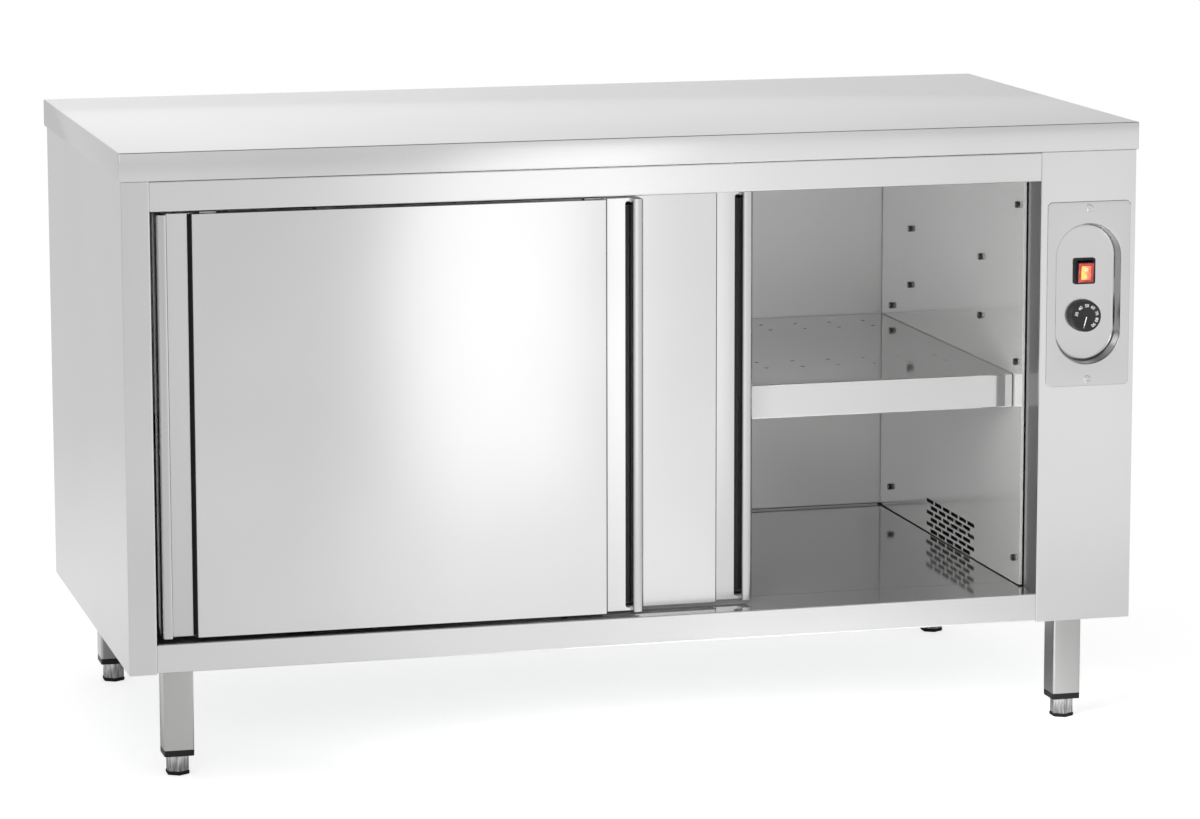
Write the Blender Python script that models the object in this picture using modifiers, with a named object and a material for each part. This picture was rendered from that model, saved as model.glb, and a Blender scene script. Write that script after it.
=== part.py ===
"""Heated stainless steel cabinet with two hung sliding doors, a shelf and fan-forced warm air.

Metres, +Z up. X runs along the front, the doors face -Y, and the origin lies on the
floor under the middle of the worktop. The feet are screwed home.
"""
import math

import bmesh
import bpy
from mathutils import Matrix, Vector

# Overall size
WIDTH = 1.400
DEPTH = 0.700
HEIGHT = 0.840

# Sheet metal
GAUGE = 0.0010
FOLD_RADIUS = 0.0020
FIT = 0.0003
PUNCH = 0.005

# Worktop
WORKTOP_EDGE = 0.038
WORKTOP_LIP = 0.015
CORE_THICKNESS = 0.018
SIDE_OVERHANG = 0.003
FRONT_OVERHANG = 0.0023
BACK_OVERHANG = 0.007

# Carcass
UNDER_CLEARANCE = 0.151
STILE_WIDTH = 0.0372
FASCIA_WIDTH = 0.137
RAIL_HEIGHT = 0.0396
LOWER_RAIL_STEP = 0.0015
JAMB_DEPTH = 0.048
SILL_DEPTH = 0.0857
RAIL_RETURN = 0.020
UPPER_RETURN = 0.006
BACK_FLANGE = 0.020
TOP_RETURN = 0.015
PAN_RISE = 0.003
PAN_LIP = 0.025

# Lining of the heated compartment
LINING_STEP = 0.005
LINING_SETBACK = 0.0577
LINING_RETURN = 0.015
BACK_CAVITY = 0.021
BACK_WALL_FLANGE = 0.010
FLOOR_FLANGE = 0.012
WALL_FLOOR_GAP = 0.0015
CEILING_FLANGE = 0.012
INSULATION_GAP = 0.0025

# Doors
DOOR_THICKNESS = 0.026
DOOR_SETBACK = 0.0077
DOOR_SPACE = 0.008
DOOR_OVERLAP = 0.107
DOOR_SKIN = 0.0010
DOOR_STILE_GAP = 0.0078
DOOR_LINING_GAP = 0.002
DOOR_FOOT_GAP = 0.0054
DOOR_HEAD_GAP = 0.0054
RIGHT_DOOR_OPEN = 0.387
LEFT_MARGIN = 0.048
RIGHT_MARGIN = 0.0525
SEAM_WIDTH = 0.004
SEAM_DEPTH = 0.0026
DOOR_LIP = 0.0152
DOOR_LIP_RADIUS = 0.006
DOOR_RELIEF = 0.013
GROOVE_WIDTH = 0.008
GROOVE_CORNER = 0.0036
GROOVE_DEPTH = 0.009
GROOVE_END = 0.0105
TROUGH_WALL = 0.0010
CHANNEL_DEPTH = 0.010
CHANNEL_WIDTH = 0.005
CHANNEL_BACK = 0.003

# Door running gear
HANGER_INSET = 0.070
HANGER_WIDTH = 0.022
HANGER_PLATE = 0.002
HANGER_FOOT = 0.015
HANGER_HEAD = 0.008
HANGER_GAP = 0.0015
AXLE_RADIUS = 0.003
WHEEL_WIDTH = 0.005
WHEEL_RADIUS = 0.0105
WHEEL_GROOVE_RADIUS = 0.0087
WHEEL_GROOVE_WIDTH = 0.003
WHEEL_GROOVE_DRAFT = 0.0003
WHEEL_WEB_GAP = 0.001
TRACK_WEB = 0.002
TRACK_LEDGE = 0.002
TRACK_DROP = 0.0297
TRACK_TOP_WIDTH = 0.024
TRACK_END_GAP = 0.001
LEDGE_MARGIN = 0.0007
BEAD = 0.002
GUIDE_START = 0.5615
GUIDE_LENGTH = 0.050
GUIDE_FIN = 0.003
GUIDE_BASE = 0.002
GUIDE_HEIGHT = 0.0125

# Shelf and its studs
SHELF_LIP = 0.0465
SHELF_SIDE_LIP = 0.0165
SHELF_RETURN = 0.010
SHELF_SIDE_GAP = 0.0015
SHELF_HOLE_RADIUS = 0.0035
SHELF_HOLE_PITCH = 0.0527
SHELF_ROW_GAP = 0.049
SHELF_FRONT_ROW = 0.139
SHELF_REAR_ROW = 0.0655
STUD_RADIUS = 0.0045
STUD_LENGTH = 0.0045
STUD_LOWEST = 0.4630
STUD_PITCH = 0.0835
STUD_ROWS = 3
STUD_INSET = 0.137

# Air grille
GRILLE_ROWS = 6
GRILLE_SLOTS = 6
SLOT_LENGTH = 0.031
SLOT_HEIGHT = 0.0056
SLOT_CORNER = 0.0006
SLOT_PITCH = 0.036
SLOT_ROW_PITCH = 0.0086
GRILLE_RISE = 0.0037
GRILLE_FROM_BACK = 0.323

# Legs and feet
LEG_SIDE = 0.040
LEG_WALL = 0.0015
LEG_INSET_X = 0.055
LEG_INSET_Y = 0.049
CAP_COLLAR = 0.008
CAP_PLUG = 0.018
FOOT_SOLE = 0.0295
FOOT_SOLE_TAPER = 0.001
FOOT_SOLE_HEIGHT = 0.005
FOOT_HEX = 0.028
FOOT_HEX_HEIGHT = 0.022
SPINDLE_RADIUS = 0.006
SPINDLE_LENGTH = 0.085

# Control panel
PLATE_WIDTH = 0.120
PLATE_SHIFT = 0.0015
PLATE_HEIGHT = 0.255
PLATE_CORNER = 0.006
PLATE_GAUGE = 0.0010
PLATE_DROP = 0.0685
RECESS_RADIUS = 0.0465
RECESS_LENGTH = 0.193
RECESS_DEPTH = 0.018
RECESS_DRAFT = 0.0025
RECESS_RIM = 0.002
RECESS_FILLET = 0.004
RECESS_CLEARANCE = 0.004
SWITCH_RISE = 0.0293
BEZEL_WIDTH = 0.031
BEZEL_HEIGHT = 0.036
BEZEL_THICKNESS = 0.003
BEZEL_CORNER = 0.003
SWITCH_BODY_WIDTH = 0.0262
SWITCH_BODY_HEIGHT = 0.0325
SWITCH_BODY_DEPTH = 0.024
SWITCH_WELL_DEPTH = 0.012
ROCKER_WIDTH = 0.0225
ROCKER_HEIGHT = 0.0275
ROCKER_RISE = 0.0065
ROCKER_EDGE = 0.0015
ROCKER_HOLLOW = 0.0012
ROCKER_FOOT = 0.004
ROCKER_END_GAP = 0.0012
ROCKER_TIP = math.radians(7)
ROCKER_AXIS_DEPTH = 0.004
KNOB_DROP = 0.0324
KNOB_RADIUS = 0.0223
KNOB_HEIGHT = 0.013
KNOB_TAPER = 0.0012
KNOB_EDGE = 0.0015
KNOB_FOOT = 0.002
KNOB_SOCKET = 0.009
SHAFT_RADIUS = 0.003
SHAFT_HOLE_GAP = 0.001
THERMOSTAT_RADIUS = 0.018
THERMOSTAT_LENGTH = 0.026

# Fan, heater and wiring
DUCT_LENGTH = 0.224
DUCT_HEIGHT = 0.066
DUCT_WALL = 0.0010
DUCT_DEPTH = 0.052
VOLUTE_RADIUS = 0.056
VOLUTE_GROWTH = 0.016
VOLUTE_START = math.radians(-20)
VOLUTE_SWEEP = math.radians(220)
VOLUTE_STEPS = 14
FAN_RISE = 0.137
FAN_SHIFT = 0.011
IMPELLER_RADIUS = 0.048
IMPELLER_WIDTH = 0.034
IMPELLER_BLADES = 20
BLADE_CHORD = 0.013
BLADE_THICKNESS = 0.0016
BLADE_INSET = 0.0008
BLADE_LEAD = 0.22
IMPELLER_PLATE = 0.0015
IMPELLER_GAP = 0.003
EYE_MARGIN = 0.003
EYE_DEPTH = 0.004
INTAKE_RADIUS = 0.036
HUB_RADIUS = 0.010
HUB_LENGTH = 0.016
MOTOR_SHAFT_RADIUS = 0.004
MOTOR_RADIUS = 0.033
MOTOR_LENGTH = 0.055
MOTOR_STANDOFF = 0.010
SPIDER_ARM = 0.012
SPIDER_REACH = 0.010
SPIDER_ANGLE = math.radians(40)
HEATER_RADIUS = 0.0042
HEATER_SPAN = 0.180
HEATER_GAP = 0.026
HEATER_RISE = 0.0297
HEATER_TAIL = 0.018
BULB_RADIUS = 0.004
BULB_LENGTH = 0.060
BULB_FALL = 0.090
BULB_SETBACK = 0.020
BULB_GAP = 0.001
CAPILLARY_RADIUS = 0.0012
CAPILLARY_TAIL = 0.030
CAPILLARY_BEND = 0.018
TERMINAL_LENGTH = 0.060
TERMINAL_WIDTH = 0.022
TERMINAL_HEIGHT = 0.020
TERMINAL_SEAT = 0.012
TERMINAL_RIB = 0.0025
TERMINAL_POLES = 3
TERMINAL_SETBACK = 0.100
GLAND_FROM_LINING = 0.112
GLAND_RADIUS = 0.008
GLAND_BORE = 0.0045
GLAND_HEX = 0.022
GLAND_FLANGE = 0.005
GLAND_STEM = 0.008
GLAND_DOME = 0.022
GLAND_SHOULDER = 0.0108
GLAND_MOUTH = 0.0079

# Roundness
ROUND_SEGMENTS = 24
SMALL_SEGMENTS = 16
STUD_SEGMENTS = 10
RECESS_SEGMENTS = 32
FILLET_SEGMENTS = 3
FOLD_SEGMENTS = 2

# Places that follow from the sizes above
FRONT = -DEPTH / 2
BACK = DEPTH / 2
LEFT = -WIDTH / 2
RIGHT = WIDTH / 2
body_left = LEFT + SIDE_OVERHANG
body_right = RIGHT - SIDE_OVERHANG
body_front = FRONT + FRONT_OVERHANG
body_back = BACK - BACK_OVERHANG
body_bottom = UNDER_CLEARANCE
body_top = HEIGHT - WORKTOP_EDGE - FIT
opening_left = body_left + STILE_WIDTH
opening_right = body_right - FASCIA_WIDTH
opening_bottom = body_bottom + RAIL_HEIGHT
opening_top = body_top - RAIL_HEIGHT
sill_back = body_front + SILL_DEPTH
lining_left = opening_left + LINING_STEP
lining_right = opening_right - LINING_STEP
lining_front = body_front + LINING_SETBACK
lining_back = body_back - BACK_CAVITY
lining_floor = opening_bottom
wall_bottom = lining_floor + WALL_FLOOR_GAP
wall_top = body_top - GAUGE - FIT
pan_bottom = body_bottom + PAN_RISE
pan_back = body_back - 2 * (GAUGE + FIT)
front_door_y = body_front + DOOR_SETBACK
rear_door_y = front_door_y + DOOR_THICKNESS + DOOR_SPACE
door_bottom = opening_bottom + DOOR_FOOT_GAP
door_top = opening_top - DOOR_HEAD_GAP
doors_left = opening_left + DOOR_STILE_GAP
doors_right = lining_right - DOOR_LINING_GAP
door_width = (doors_right - doors_left + DOOR_OVERLAP) / 2
left_door_x = doors_left
right_door_x = doors_right - door_width - RIGHT_DOOR_OPEN
track_y = (front_door_y + rear_door_y + DOOR_THICKNESS) / 2
track_top = body_top - GAUGE - FIT
ledge_top = track_top - TRACK_DROP + TRACK_LEDGE
wheel_near = TRACK_WEB / 2 + WHEEL_WEB_GAP
wheel_far = wheel_near + WHEEL_WIDTH
ledge_reach = wheel_far + LEDGE_MARGIN
hanger_near = wheel_far + HANGER_GAP
wheel_z = ledge_top + BEAD + FIT + WHEEL_GROOVE_RADIUS
panel_x = (opening_right + body_right) / 2 + PLATE_SHIFT
plate_z = body_top - PLATE_DROP - PLATE_HEIGHT / 2
plate_front = body_front - PLATE_GAUGE - FIT
recess_floor_y = plate_front + RECESS_DEPTH
switch_z = plate_z + SWITCH_RISE
knob_z = plate_z - KNOB_DROP
compartment_left = lining_right + GAUGE
duct_left = compartment_left + FIT
duct_right = duct_left + DUCT_DEPTH
duct_bottom = lining_floor + FIT
duct_y = lining_back - GRILLE_FROM_BACK
fan_y = duct_y - FAN_SHIFT
fan_z = duct_bottom + FAN_RISE

COLLECTION_NAME = "warming_cabinet"
CUTTER_COLLECTION = "cutters"


def clear_scene():
    """Removes every object so that the model starts from nothing."""
    for old in list(bpy.data.objects):
        bpy.data.objects.remove(old, do_unlink=True)


def make_collection(name):
    """Returns a collection of that name, linked to the scene."""
    made = bpy.data.collections.get(name) or bpy.data.collections.new(name)
    if made.name not in bpy.context.scene.collection.children:
        bpy.context.scene.collection.children.link(made)
    return made


def make_material(name, colour, roughness, metallic=0.0):
    """A Principled material of one finish."""
    material = bpy.data.materials.new(name)
    material.use_nodes = True
    shader = material.node_tree.nodes["Principled BSDF"]
    shader.inputs["Base Color"].default_value = (*colour, 1.0)
    shader.inputs["Roughness"].default_value = roughness
    shader.inputs["Metallic"].default_value = metallic
    return material


clear_scene()
parts = make_collection(COLLECTION_NAME)
cutters = make_collection(CUTTER_COLLECTION)

STEEL = make_material("brushed_steel", (0.62, 0.63, 0.63), 0.28, 1.0)
LINING = make_material("bright_lining", (0.55, 0.56, 0.56), 0.18, 1.0)
ZINC = make_material("zinc_plate", (0.50, 0.51, 0.52), 0.40, 1.0)
BLACK = make_material("black_plastic", (0.020, 0.020, 0.022), 0.45)
FOOT = make_material("foot_steel", (0.45, 0.45, 0.46), 0.35, 1.0)
RED = make_material("red_lens", (0.55, 0.03, 0.02), 0.20)
BOARD = make_material("core_board", (0.45, 0.33, 0.20), 0.80)
WOOL = make_material("mineral_wool", (0.55, 0.48, 0.30), 0.95)
NYLON = make_material("nylon", (0.75, 0.74, 0.70), 0.50)
COPPER = make_material("heater_sheath", (0.25, 0.23, 0.21), 0.45, 1.0)


def place(mesh_source, name, material, origin=(0, 0, 0), cutter=False, smooth=False):
    """Turns a bmesh given in world places into an object whose origin lies at origin."""
    origin = Vector(origin)
    bmesh.ops.translate(mesh_source, vec=-origin, verts=mesh_source.verts)
    mesh = bpy.data.meshes.new(name)
    mesh_source.to_mesh(mesh)
    mesh_source.free()
    if smooth:
        mesh.shade_smooth()
        mesh.set_sharp_from_angle(angle=math.radians(35))
    piece = bpy.data.objects.new(name, mesh)
    piece.location = origin
    if cutter:
        cutters.objects.link(piece)
        piece.hide_render = True
        piece.display_type = "WIRE"
    else:
        mesh.materials.append(material)
        parts.objects.link(piece)
    return piece


def cuboid(low, high):
    """A closed box between two corners."""
    low, high = Vector(low), Vector(high)
    shape = bmesh.new()
    bmesh.ops.create_cube(shape, size=1.0)
    bmesh.ops.scale(shape, vec=high - low, verts=shape.verts)
    bmesh.ops.translate(shape, vec=(low + high) / 2, verts=shape.verts)
    return shape


def join(shapes):
    """Puts several closed shapes into one bmesh."""
    joined = bmesh.new()
    for shape in shapes:
        carrier = bpy.data.meshes.new("carrier")
        shape.to_mesh(carrier)
        shape.free()
        joined.from_mesh(carrier)
        bpy.data.meshes.remove(carrier)
    return joined


def block(name, low, high, material, origin=(0, 0, 0)):
    return place(cuboid(low, high), name, material, origin)


def to_world(axis, along, across):
    """A point from its place along an axis and its two coordinates across it."""
    first, second = across
    if axis == "X":
        return Vector((along, first, second))
    if axis == "Y":
        return Vector((first, along, second))
    return Vector((first, second, along))


AXIS_VECTORS = {"X": Vector((1, 0, 0)), "Y": Vector((0, 1, 0)), "Z": Vector((0, 0, 1))}


def rounded(points, radius, segments=FOLD_SEGMENTS, closed=False):
    """A flat outline with each corner replaced by an arc of the given radius."""
    points = [Vector(point) for point in points]
    count = len(points)
    outline = []
    for index, corner in enumerate(points):
        at_end = not closed and index in (0, count - 1)
        before = points[index - 1]
        after = points[(index + 1) % count]
        if at_end:
            outline.append(corner)
            continue
        toward_before = (before - corner).normalized()
        toward_after = (after - corner).normalized()
        half_angle = math.acos(max(-1, min(1, toward_before.dot(toward_after)))) / 2
        reach = radius / math.tan(half_angle)
        limit = 0.49 * min((before - corner).length, (after - corner).length)
        used_radius = radius * min(1, limit / reach)
        reach = min(reach, limit)
        centre = corner + (toward_before + toward_after).normalized() * (
            used_radius / math.sin(half_angle))
        start = corner + toward_before * reach - centre
        sweep = math.pi - 2 * half_angle
        turn = 1 if start.y * toward_before.x - start.x * toward_before.y > 0 else -1
        for step in range(segments + 1):
            angle = turn * sweep * step / segments
            cosine, sine = math.cos(angle), math.sin(angle)
            outline.append(centre + Vector((start.x * cosine - start.y * sine,
                                            start.x * sine + start.y * cosine)))
    return outline


def prism(outline, axis, start, stop):
    """A closed solid: a flat outline drawn out along an axis."""
    shape = bmesh.new()
    face = shape.faces.new([shape.verts.new(to_world(axis, start, point)) for point in outline])
    drawn = bmesh.ops.extrude_face_region(shape, geom=[face])
    moved = [item for item in drawn["geom"] if isinstance(item, bmesh.types.BMVert)]
    bmesh.ops.translate(shape, vec=AXIS_VECTORS[axis] * (stop - start), verts=moved)
    bmesh.ops.recalc_face_normals(shape, faces=shape.faces)
    return shape


def solidify(piece, gauge, offset=-1):
    """Gives an open surface its sheet thickness."""
    modifier = piece.modifiers.new("gauge", "SOLIDIFY")
    modifier.thickness = gauge
    modifier.offset = offset
    modifier.use_even_offset = True
    modifier.use_quality_normals = True
    return modifier


def folded_sheet(name, profile, axis, start, stop, material, side=1, radius=FOLD_RADIUS):
    """Sheet folded to a profile and drawn along an axis.

    The thickness lies to the left of the profile's run where side is 1, to the right where -1.
    """
    shape = bmesh.new()
    points = rounded(profile, radius)
    line = [shape.verts.new(to_world(axis, start, point)) for point in points]
    edges = [shape.edges.new(pair) for pair in zip(line, line[1:])]
    drawn = bmesh.ops.extrude_edge_only(shape, edges=edges)
    moved = [item for item in drawn["geom"] if isinstance(item, bmesh.types.BMVert)]
    bmesh.ops.translate(shape, vec=AXIS_VECTORS[axis] * (stop - start), verts=moved)
    bmesh.ops.recalc_face_normals(shape, faces=shape.faces)
    shape.normal_update()
    along = (line[1].co - line[0].co).cross(AXIS_VECTORS[axis])
    if edges[0].link_faces[0].normal.dot(along) * side < 0:
        bmesh.ops.reverse_faces(shape, faces=shape.faces)
    piece = place(shape, name, material)
    solidify(piece, GAUGE)
    return piece


def shell_from(shape, is_open, name, material, gauge, bevel=0.0, origin=(0, 0, 0)):
    """Opens a closed shape where is_open says so, and gives the rest a wall inwards."""
    shape.normal_update()
    gone = [face for face in shape.faces if is_open(face)]
    bmesh.ops.delete(shape, geom=gone, context="FACES_ONLY")
    piece = place(shape, name, material, origin)
    if bevel:
        add_bevel(piece, bevel)
    solidify(piece, gauge)
    return piece


def add_bevel(piece, width, segments=FOLD_SEGMENTS):
    """Rounds the sharp edges of a piece."""
    modifier = piece.modifiers.new("rounding", "BEVEL")
    modifier.width = width
    modifier.segments = segments
    modifier.limit_method = "ANGLE"
    modifier.angle_limit = math.radians(40)


def tray(name, low, high, down, lip, material, gauge=GAUGE, bevel=0.0015):
    """A folded tray, open below (down) or above, with a lip turned inwards round its mouth."""
    shape = cuboid(low, high)
    mouth_z = low[2] if down else high[2]
    shape.normal_update()
    gone = [face for face in shape.faces if abs(face.calc_center_median().z - mouth_z) < 1e-6]
    bmesh.ops.delete(shape, geom=gone, context="FACES_ONLY")
    if lip:
        mouth = [edge for edge in shape.edges if edge.is_boundary]
        drawn = bmesh.ops.extrude_edge_only(shape, edges=mouth)
        middle_x = (low[0] + high[0]) / 2
        middle_y = (low[1] + high[1]) / 2
        for item in drawn["geom"]:
            if isinstance(item, bmesh.types.BMVert):
                item.co.x -= math.copysign(lip, item.co.x - middle_x)
                item.co.y -= math.copysign(lip, item.co.y - middle_y)
        bmesh.ops.recalc_face_normals(shape, faces=shape.faces)
        shape.normal_update()
    top = [face for face in shape.faces if abs(abs(face.normal.z) - 1) < 1e-6
           and abs(face.calc_center_median().z - mouth_z) > 1e-6][0]
    if top.normal.z * (1 if down else -1) < 0:
        bmesh.ops.reverse_faces(shape, faces=shape.faces)
    piece = place(shape, name, material)
    if bevel:
        add_bevel(piece, bevel)
    solidify(piece, gauge)
    return piece


def combine(piece, other, operation):
    """Adds a Boolean of the other object to a piece."""
    modifier = piece.modifiers.new(operation.lower(), "BOOLEAN")
    modifier.operation = operation
    modifier.solver = "EXACT"
    modifier.object = other
    return modifier


def cut(piece, shape, name):
    """Takes a closed shape out of a piece."""
    combine(piece, place(shape, name, None, cutter=True), "DIFFERENCE")


def weld(piece, shape, name):
    """Joins a closed shape to a piece."""
    combine(piece, place(shape, name, None, cutter=True), "UNION")


def cylinder(centre, axis, radius, start, stop, sides=ROUND_SEGMENTS, radius_stop=None):
    """A closed cylinder or cone along an axis, between two places on it."""
    shape = bmesh.new()
    turn = {"X": Matrix.Rotation(math.radians(90), 4, "Y"),
            "Y": Matrix.Rotation(math.radians(-90), 4, "X"),
            "Z": Matrix.Identity(4)}[axis]
    bmesh.ops.create_cone(shape, cap_ends=True, segments=sides, radius1=radius,
                          radius2=radius if radius_stop is None else radius_stop,
                          depth=stop - start, matrix=turn)
    bmesh.ops.translate(shape, vec=to_world(axis, (start + stop) / 2, centre), verts=shape.verts)
    return shape


def turned(name, outline, axis, location, material, segments=ROUND_SEGMENTS):
    """A turned piece: its outline of radii and heights, spun by a Screw modifier about its axis."""
    shape = bmesh.new()
    line = [shape.verts.new((radius, 0, height)) for radius, height in outline]
    closed = outline[0][0] > 0
    pairs = list(zip(line, line[1:])) + ([(line[-1], line[0])] if closed else [])
    for pair in pairs:
        shape.edges.new(pair)
    piece = place(shape, name, material)
    piece.location = location
    if axis == "X":
        piece.rotation_euler = (0, math.radians(90), 0)
    elif axis == "Y":
        piece.rotation_euler = (math.radians(-90), 0, 0)
    modifier = piece.modifiers.new("spin", "SCREW")
    modifier.steps = segments
    modifier.render_steps = segments
    modifier.use_merge_vertices = True
    modifier.merge_threshold = 0.00001
    modifier.use_smooth_shade = True
    return piece


def loft(rings):
    """A closed solid through rings of equal point counts, with its two ends capped."""
    shape = bmesh.new()
    rows = [[shape.verts.new(point) for point in ring] for ring in rings]
    for row, following in zip(rows, rows[1:]):
        for index in range(len(row)):
            ahead = (index + 1) % len(row)
            shape.faces.new((row[index], row[ahead], following[ahead], following[index]))
    shape.faces.new(rows[0])
    shape.faces.new(rows[-1])
    bmesh.ops.recalc_face_normals(shape, faces=shape.faces)
    return shape


def stadium(radius, y):
    """A ring of points round the long recess: two half circles joined by straights."""
    half_straight = RECESS_LENGTH / 2 - RECESS_RADIUS
    ring = []
    for index in range(RECESS_SEGMENTS):
        angle = 2 * math.pi * (index + 0.5) / RECESS_SEGMENTS
        shift = half_straight if math.sin(angle) > 0 else -half_straight
        ring.append((panel_x + radius * math.cos(angle), y,
                     plate_z + shift + radius * math.sin(angle)))
    return ring


def tube_along(name, points, radius, material, resolution=1):
    """A round bar or tube bent along points, made a mesh with closed ends."""
    curve = bpy.data.curves.new(name, "CURVE")
    curve.dimensions = "3D"
    curve.bevel_depth = radius
    curve.bevel_resolution = resolution
    curve.use_fill_caps = True
    spline = curve.splines.new("POLY")
    spline.points.add(len(points) - 1)
    for target, point in zip(spline.points, points):
        target.co = (*point, 1)
    guide = bpy.data.objects.new(name + "_line", curve)
    parts.objects.link(guide)
    bpy.context.view_layer.update()
    evaluated = guide.evaluated_get(bpy.context.evaluated_depsgraph_get())
    carrier = bpy.data.meshes.new_from_object(evaluated)
    shape = bmesh.new()
    shape.from_mesh(carrier)
    bmesh.ops.remove_doubles(shape, verts=shape.verts, dist=0.00001)
    bmesh.ops.recalc_face_normals(shape, faces=shape.faces)
    bpy.data.objects.remove(guide, do_unlink=True)
    bpy.data.meshes.remove(carrier)
    return place(shape, name, material, smooth=True)


def bent_path(corners, radius, segments=4):
    """Points along a 3-D line whose corners are rounded to the given bend radius."""
    corners = [Vector(corner) for corner in corners]
    path = [corners[0]]
    for before, corner, after in zip(corners, corners[1:], corners[2:]):
        incoming = (before - corner).normalized()
        outgoing = (after - corner).normalized()
        reach = min(radius, 0.49 * (before - corner).length, 0.49 * (after - corner).length)
        first = corner + incoming * reach
        last = corner + outgoing * reach
        for step in range(segments + 1):
            share = step / segments
            path.append(first * (1 - share) ** 2 + corner * 2 * share * (1 - share) + last * share ** 2)
    path.append(corners[-1])
    return path


def make_worktop():
    """Flat top with its edges folded down and a small lip folded in under them."""
    tray("worktop", (LEFT, FRONT, HEIGHT - WORKTOP_EDGE), (RIGHT, BACK, HEIGHT), True,
         WORKTOP_LIP, STEEL)
    inset = GAUGE + FIT
    block("worktop_core", (LEFT + inset, FRONT + inset, HEIGHT - inset - CORE_THICKNESS),
          (RIGHT - inset, BACK - inset, HEIGHT - inset), BOARD)


def notch_jamb(piece, face_x, into, name):
    """Takes the jamb fold away above and below the door opening."""
    reach = sorted((face_x - into * (FOLD_RADIUS + GAUGE), face_x + into * GAUGE))
    front = body_front + GAUGE + FIT
    back = body_front + JAMB_DEPTH + PUNCH
    for part, low, high in (("head", opening_top, body_top + PUNCH),
                            ("foot", body_bottom - PUNCH, opening_bottom)):
        cut(piece, cuboid((reach[0], front, low), (reach[1], back, high)), f"{name}_{part}_notch")


def make_side_panels():
    """Outer sides: the left one turns the front corner as the stile and jamb."""
    left = folded_sheet(
        "left_side_panel",
        [(opening_left, body_front + JAMB_DEPTH), (opening_left, body_front),
         (body_left, body_front), (body_left, body_back), (body_left + BACK_FLANGE, body_back)],
        "Z", body_bottom, body_top, STEEL, side=-1)
    notch_jamb(left, opening_left, 1, "stile")
    behind_fascia = body_front + GAUGE + FIT
    right = folded_sheet(
        "right_side_panel",
        [(body_right - LINING_RETURN, behind_fascia), (body_right, behind_fascia),
         (body_right, body_back), (body_right - BACK_FLANGE, body_back)],
        "Z", body_bottom, body_top, STEEL, side=1)
    cut(right, cuboid((body_right - LINING_RETURN - PUNCH, behind_fascia - PUNCH, body_bottom - PUNCH),
                      (body_right - GAUGE, behind_fascia + 2 * GAUGE + FOLD_RADIUS,
                       pan_bottom + PAN_LIP + FIT)), "right_panel_foot_notch")


def make_control_fascia():
    """Full-height fascia at the right, with the door jamb and the hole for the pressed panel."""
    fascia = folded_sheet(
        "control_fascia",
        [(opening_right, body_front + JAMB_DEPTH), (opening_right, body_front),
         (body_right, body_front)],
        "Z", body_bottom, body_top, STEEL, side=1)
    notch_jamb(fascia, opening_right, -1, "fascia")
    hole_radius = RECESS_RADIUS + RECESS_CLEARANCE
    cut(fascia, loft([stadium(hole_radius, body_front - PUNCH),
                      stadium(hole_radius, body_front + PUNCH)]), "fascia_hole")


def make_rails():
    """Upper rail with the plate that carries the track, and lower rail with the sill."""
    start, stop = opening_left + FIT, opening_right - FIT
    folded_sheet("upper_rail",
                 [(body_front + UPPER_RETURN, opening_top), (body_front, opening_top),
                  (body_front, body_top), (sill_back, body_top)],
                 "X", start, stop, STEEL, side=-1)
    low = body_bottom + LOWER_RAIL_STEP
    folded_sheet("lower_rail",
                 [(body_front + RAIL_RETURN, low), (body_front, low),
                  (body_front, opening_bottom), (sill_back, opening_bottom)],
                 "X", start, stop, STEEL, side=-1, radius=1.5 * GAUGE)


def make_base_and_back():
    """Tray that closes the underside, and the outer back sheet."""
    inner = GAUGE + 2 * FIT
    pan = tray("base_pan", (body_left + inner, body_front + inner, pan_bottom),
               (body_right - inner, pan_back, pan_bottom + PAN_LIP), False, 0, ZINC)
    gland_x, gland_y = gland_place()
    cut(pan, cylinder((gland_x, gland_y), "Z", GLAND_RADIUS + FIT, pan_bottom - PUNCH,
                      pan_bottom + PUNCH), "gland_hole")
    back_face = body_back - GAUGE - FIT
    folded_sheet("back_panel",
                 [(back_face - TOP_RETURN, body_top), (back_face, body_top),
                  (back_face, pan_bottom)],
                 "X", body_left + inner, body_right - inner, STEEL, side=-1)


def stud_places():
    """Depth and height of each shelf stud on a side wall."""
    columns = (sill_back + STUD_INSET, lining_back - STUD_INSET)
    return [(y, STUD_LOWEST + STUD_PITCH * row) for y in columns for row in range(STUD_ROWS)]


def grille_slots():
    """Slots of the air grille in a brick pattern, long rows and short rows in turn."""
    slots = []
    for row in range(GRILLE_ROWS):
        from_top = GRILLE_ROWS - 1 - row
        count = GRILLE_SLOTS - from_top % 2
        z = wall_bottom + GRILLE_RISE + SLOT_ROW_PITCH * row
        for index in range(count):
            y = duct_y + SLOT_PITCH * (index - (count - 1) / 2)
            outline = rounded([(y - SLOT_LENGTH / 2, z - SLOT_HEIGHT / 2),
                               (y + SLOT_LENGTH / 2, z - SLOT_HEIGHT / 2),
                               (y + SLOT_LENGTH / 2, z + SLOT_HEIGHT / 2),
                               (y - SLOT_LENGTH / 2, z + SLOT_HEIGHT / 2)],
                              SLOT_CORNER, 1, closed=True)
            slots.append(prism(outline, "X", lining_right - PUNCH, lining_right + PUNCH))
    return join(slots)


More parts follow.
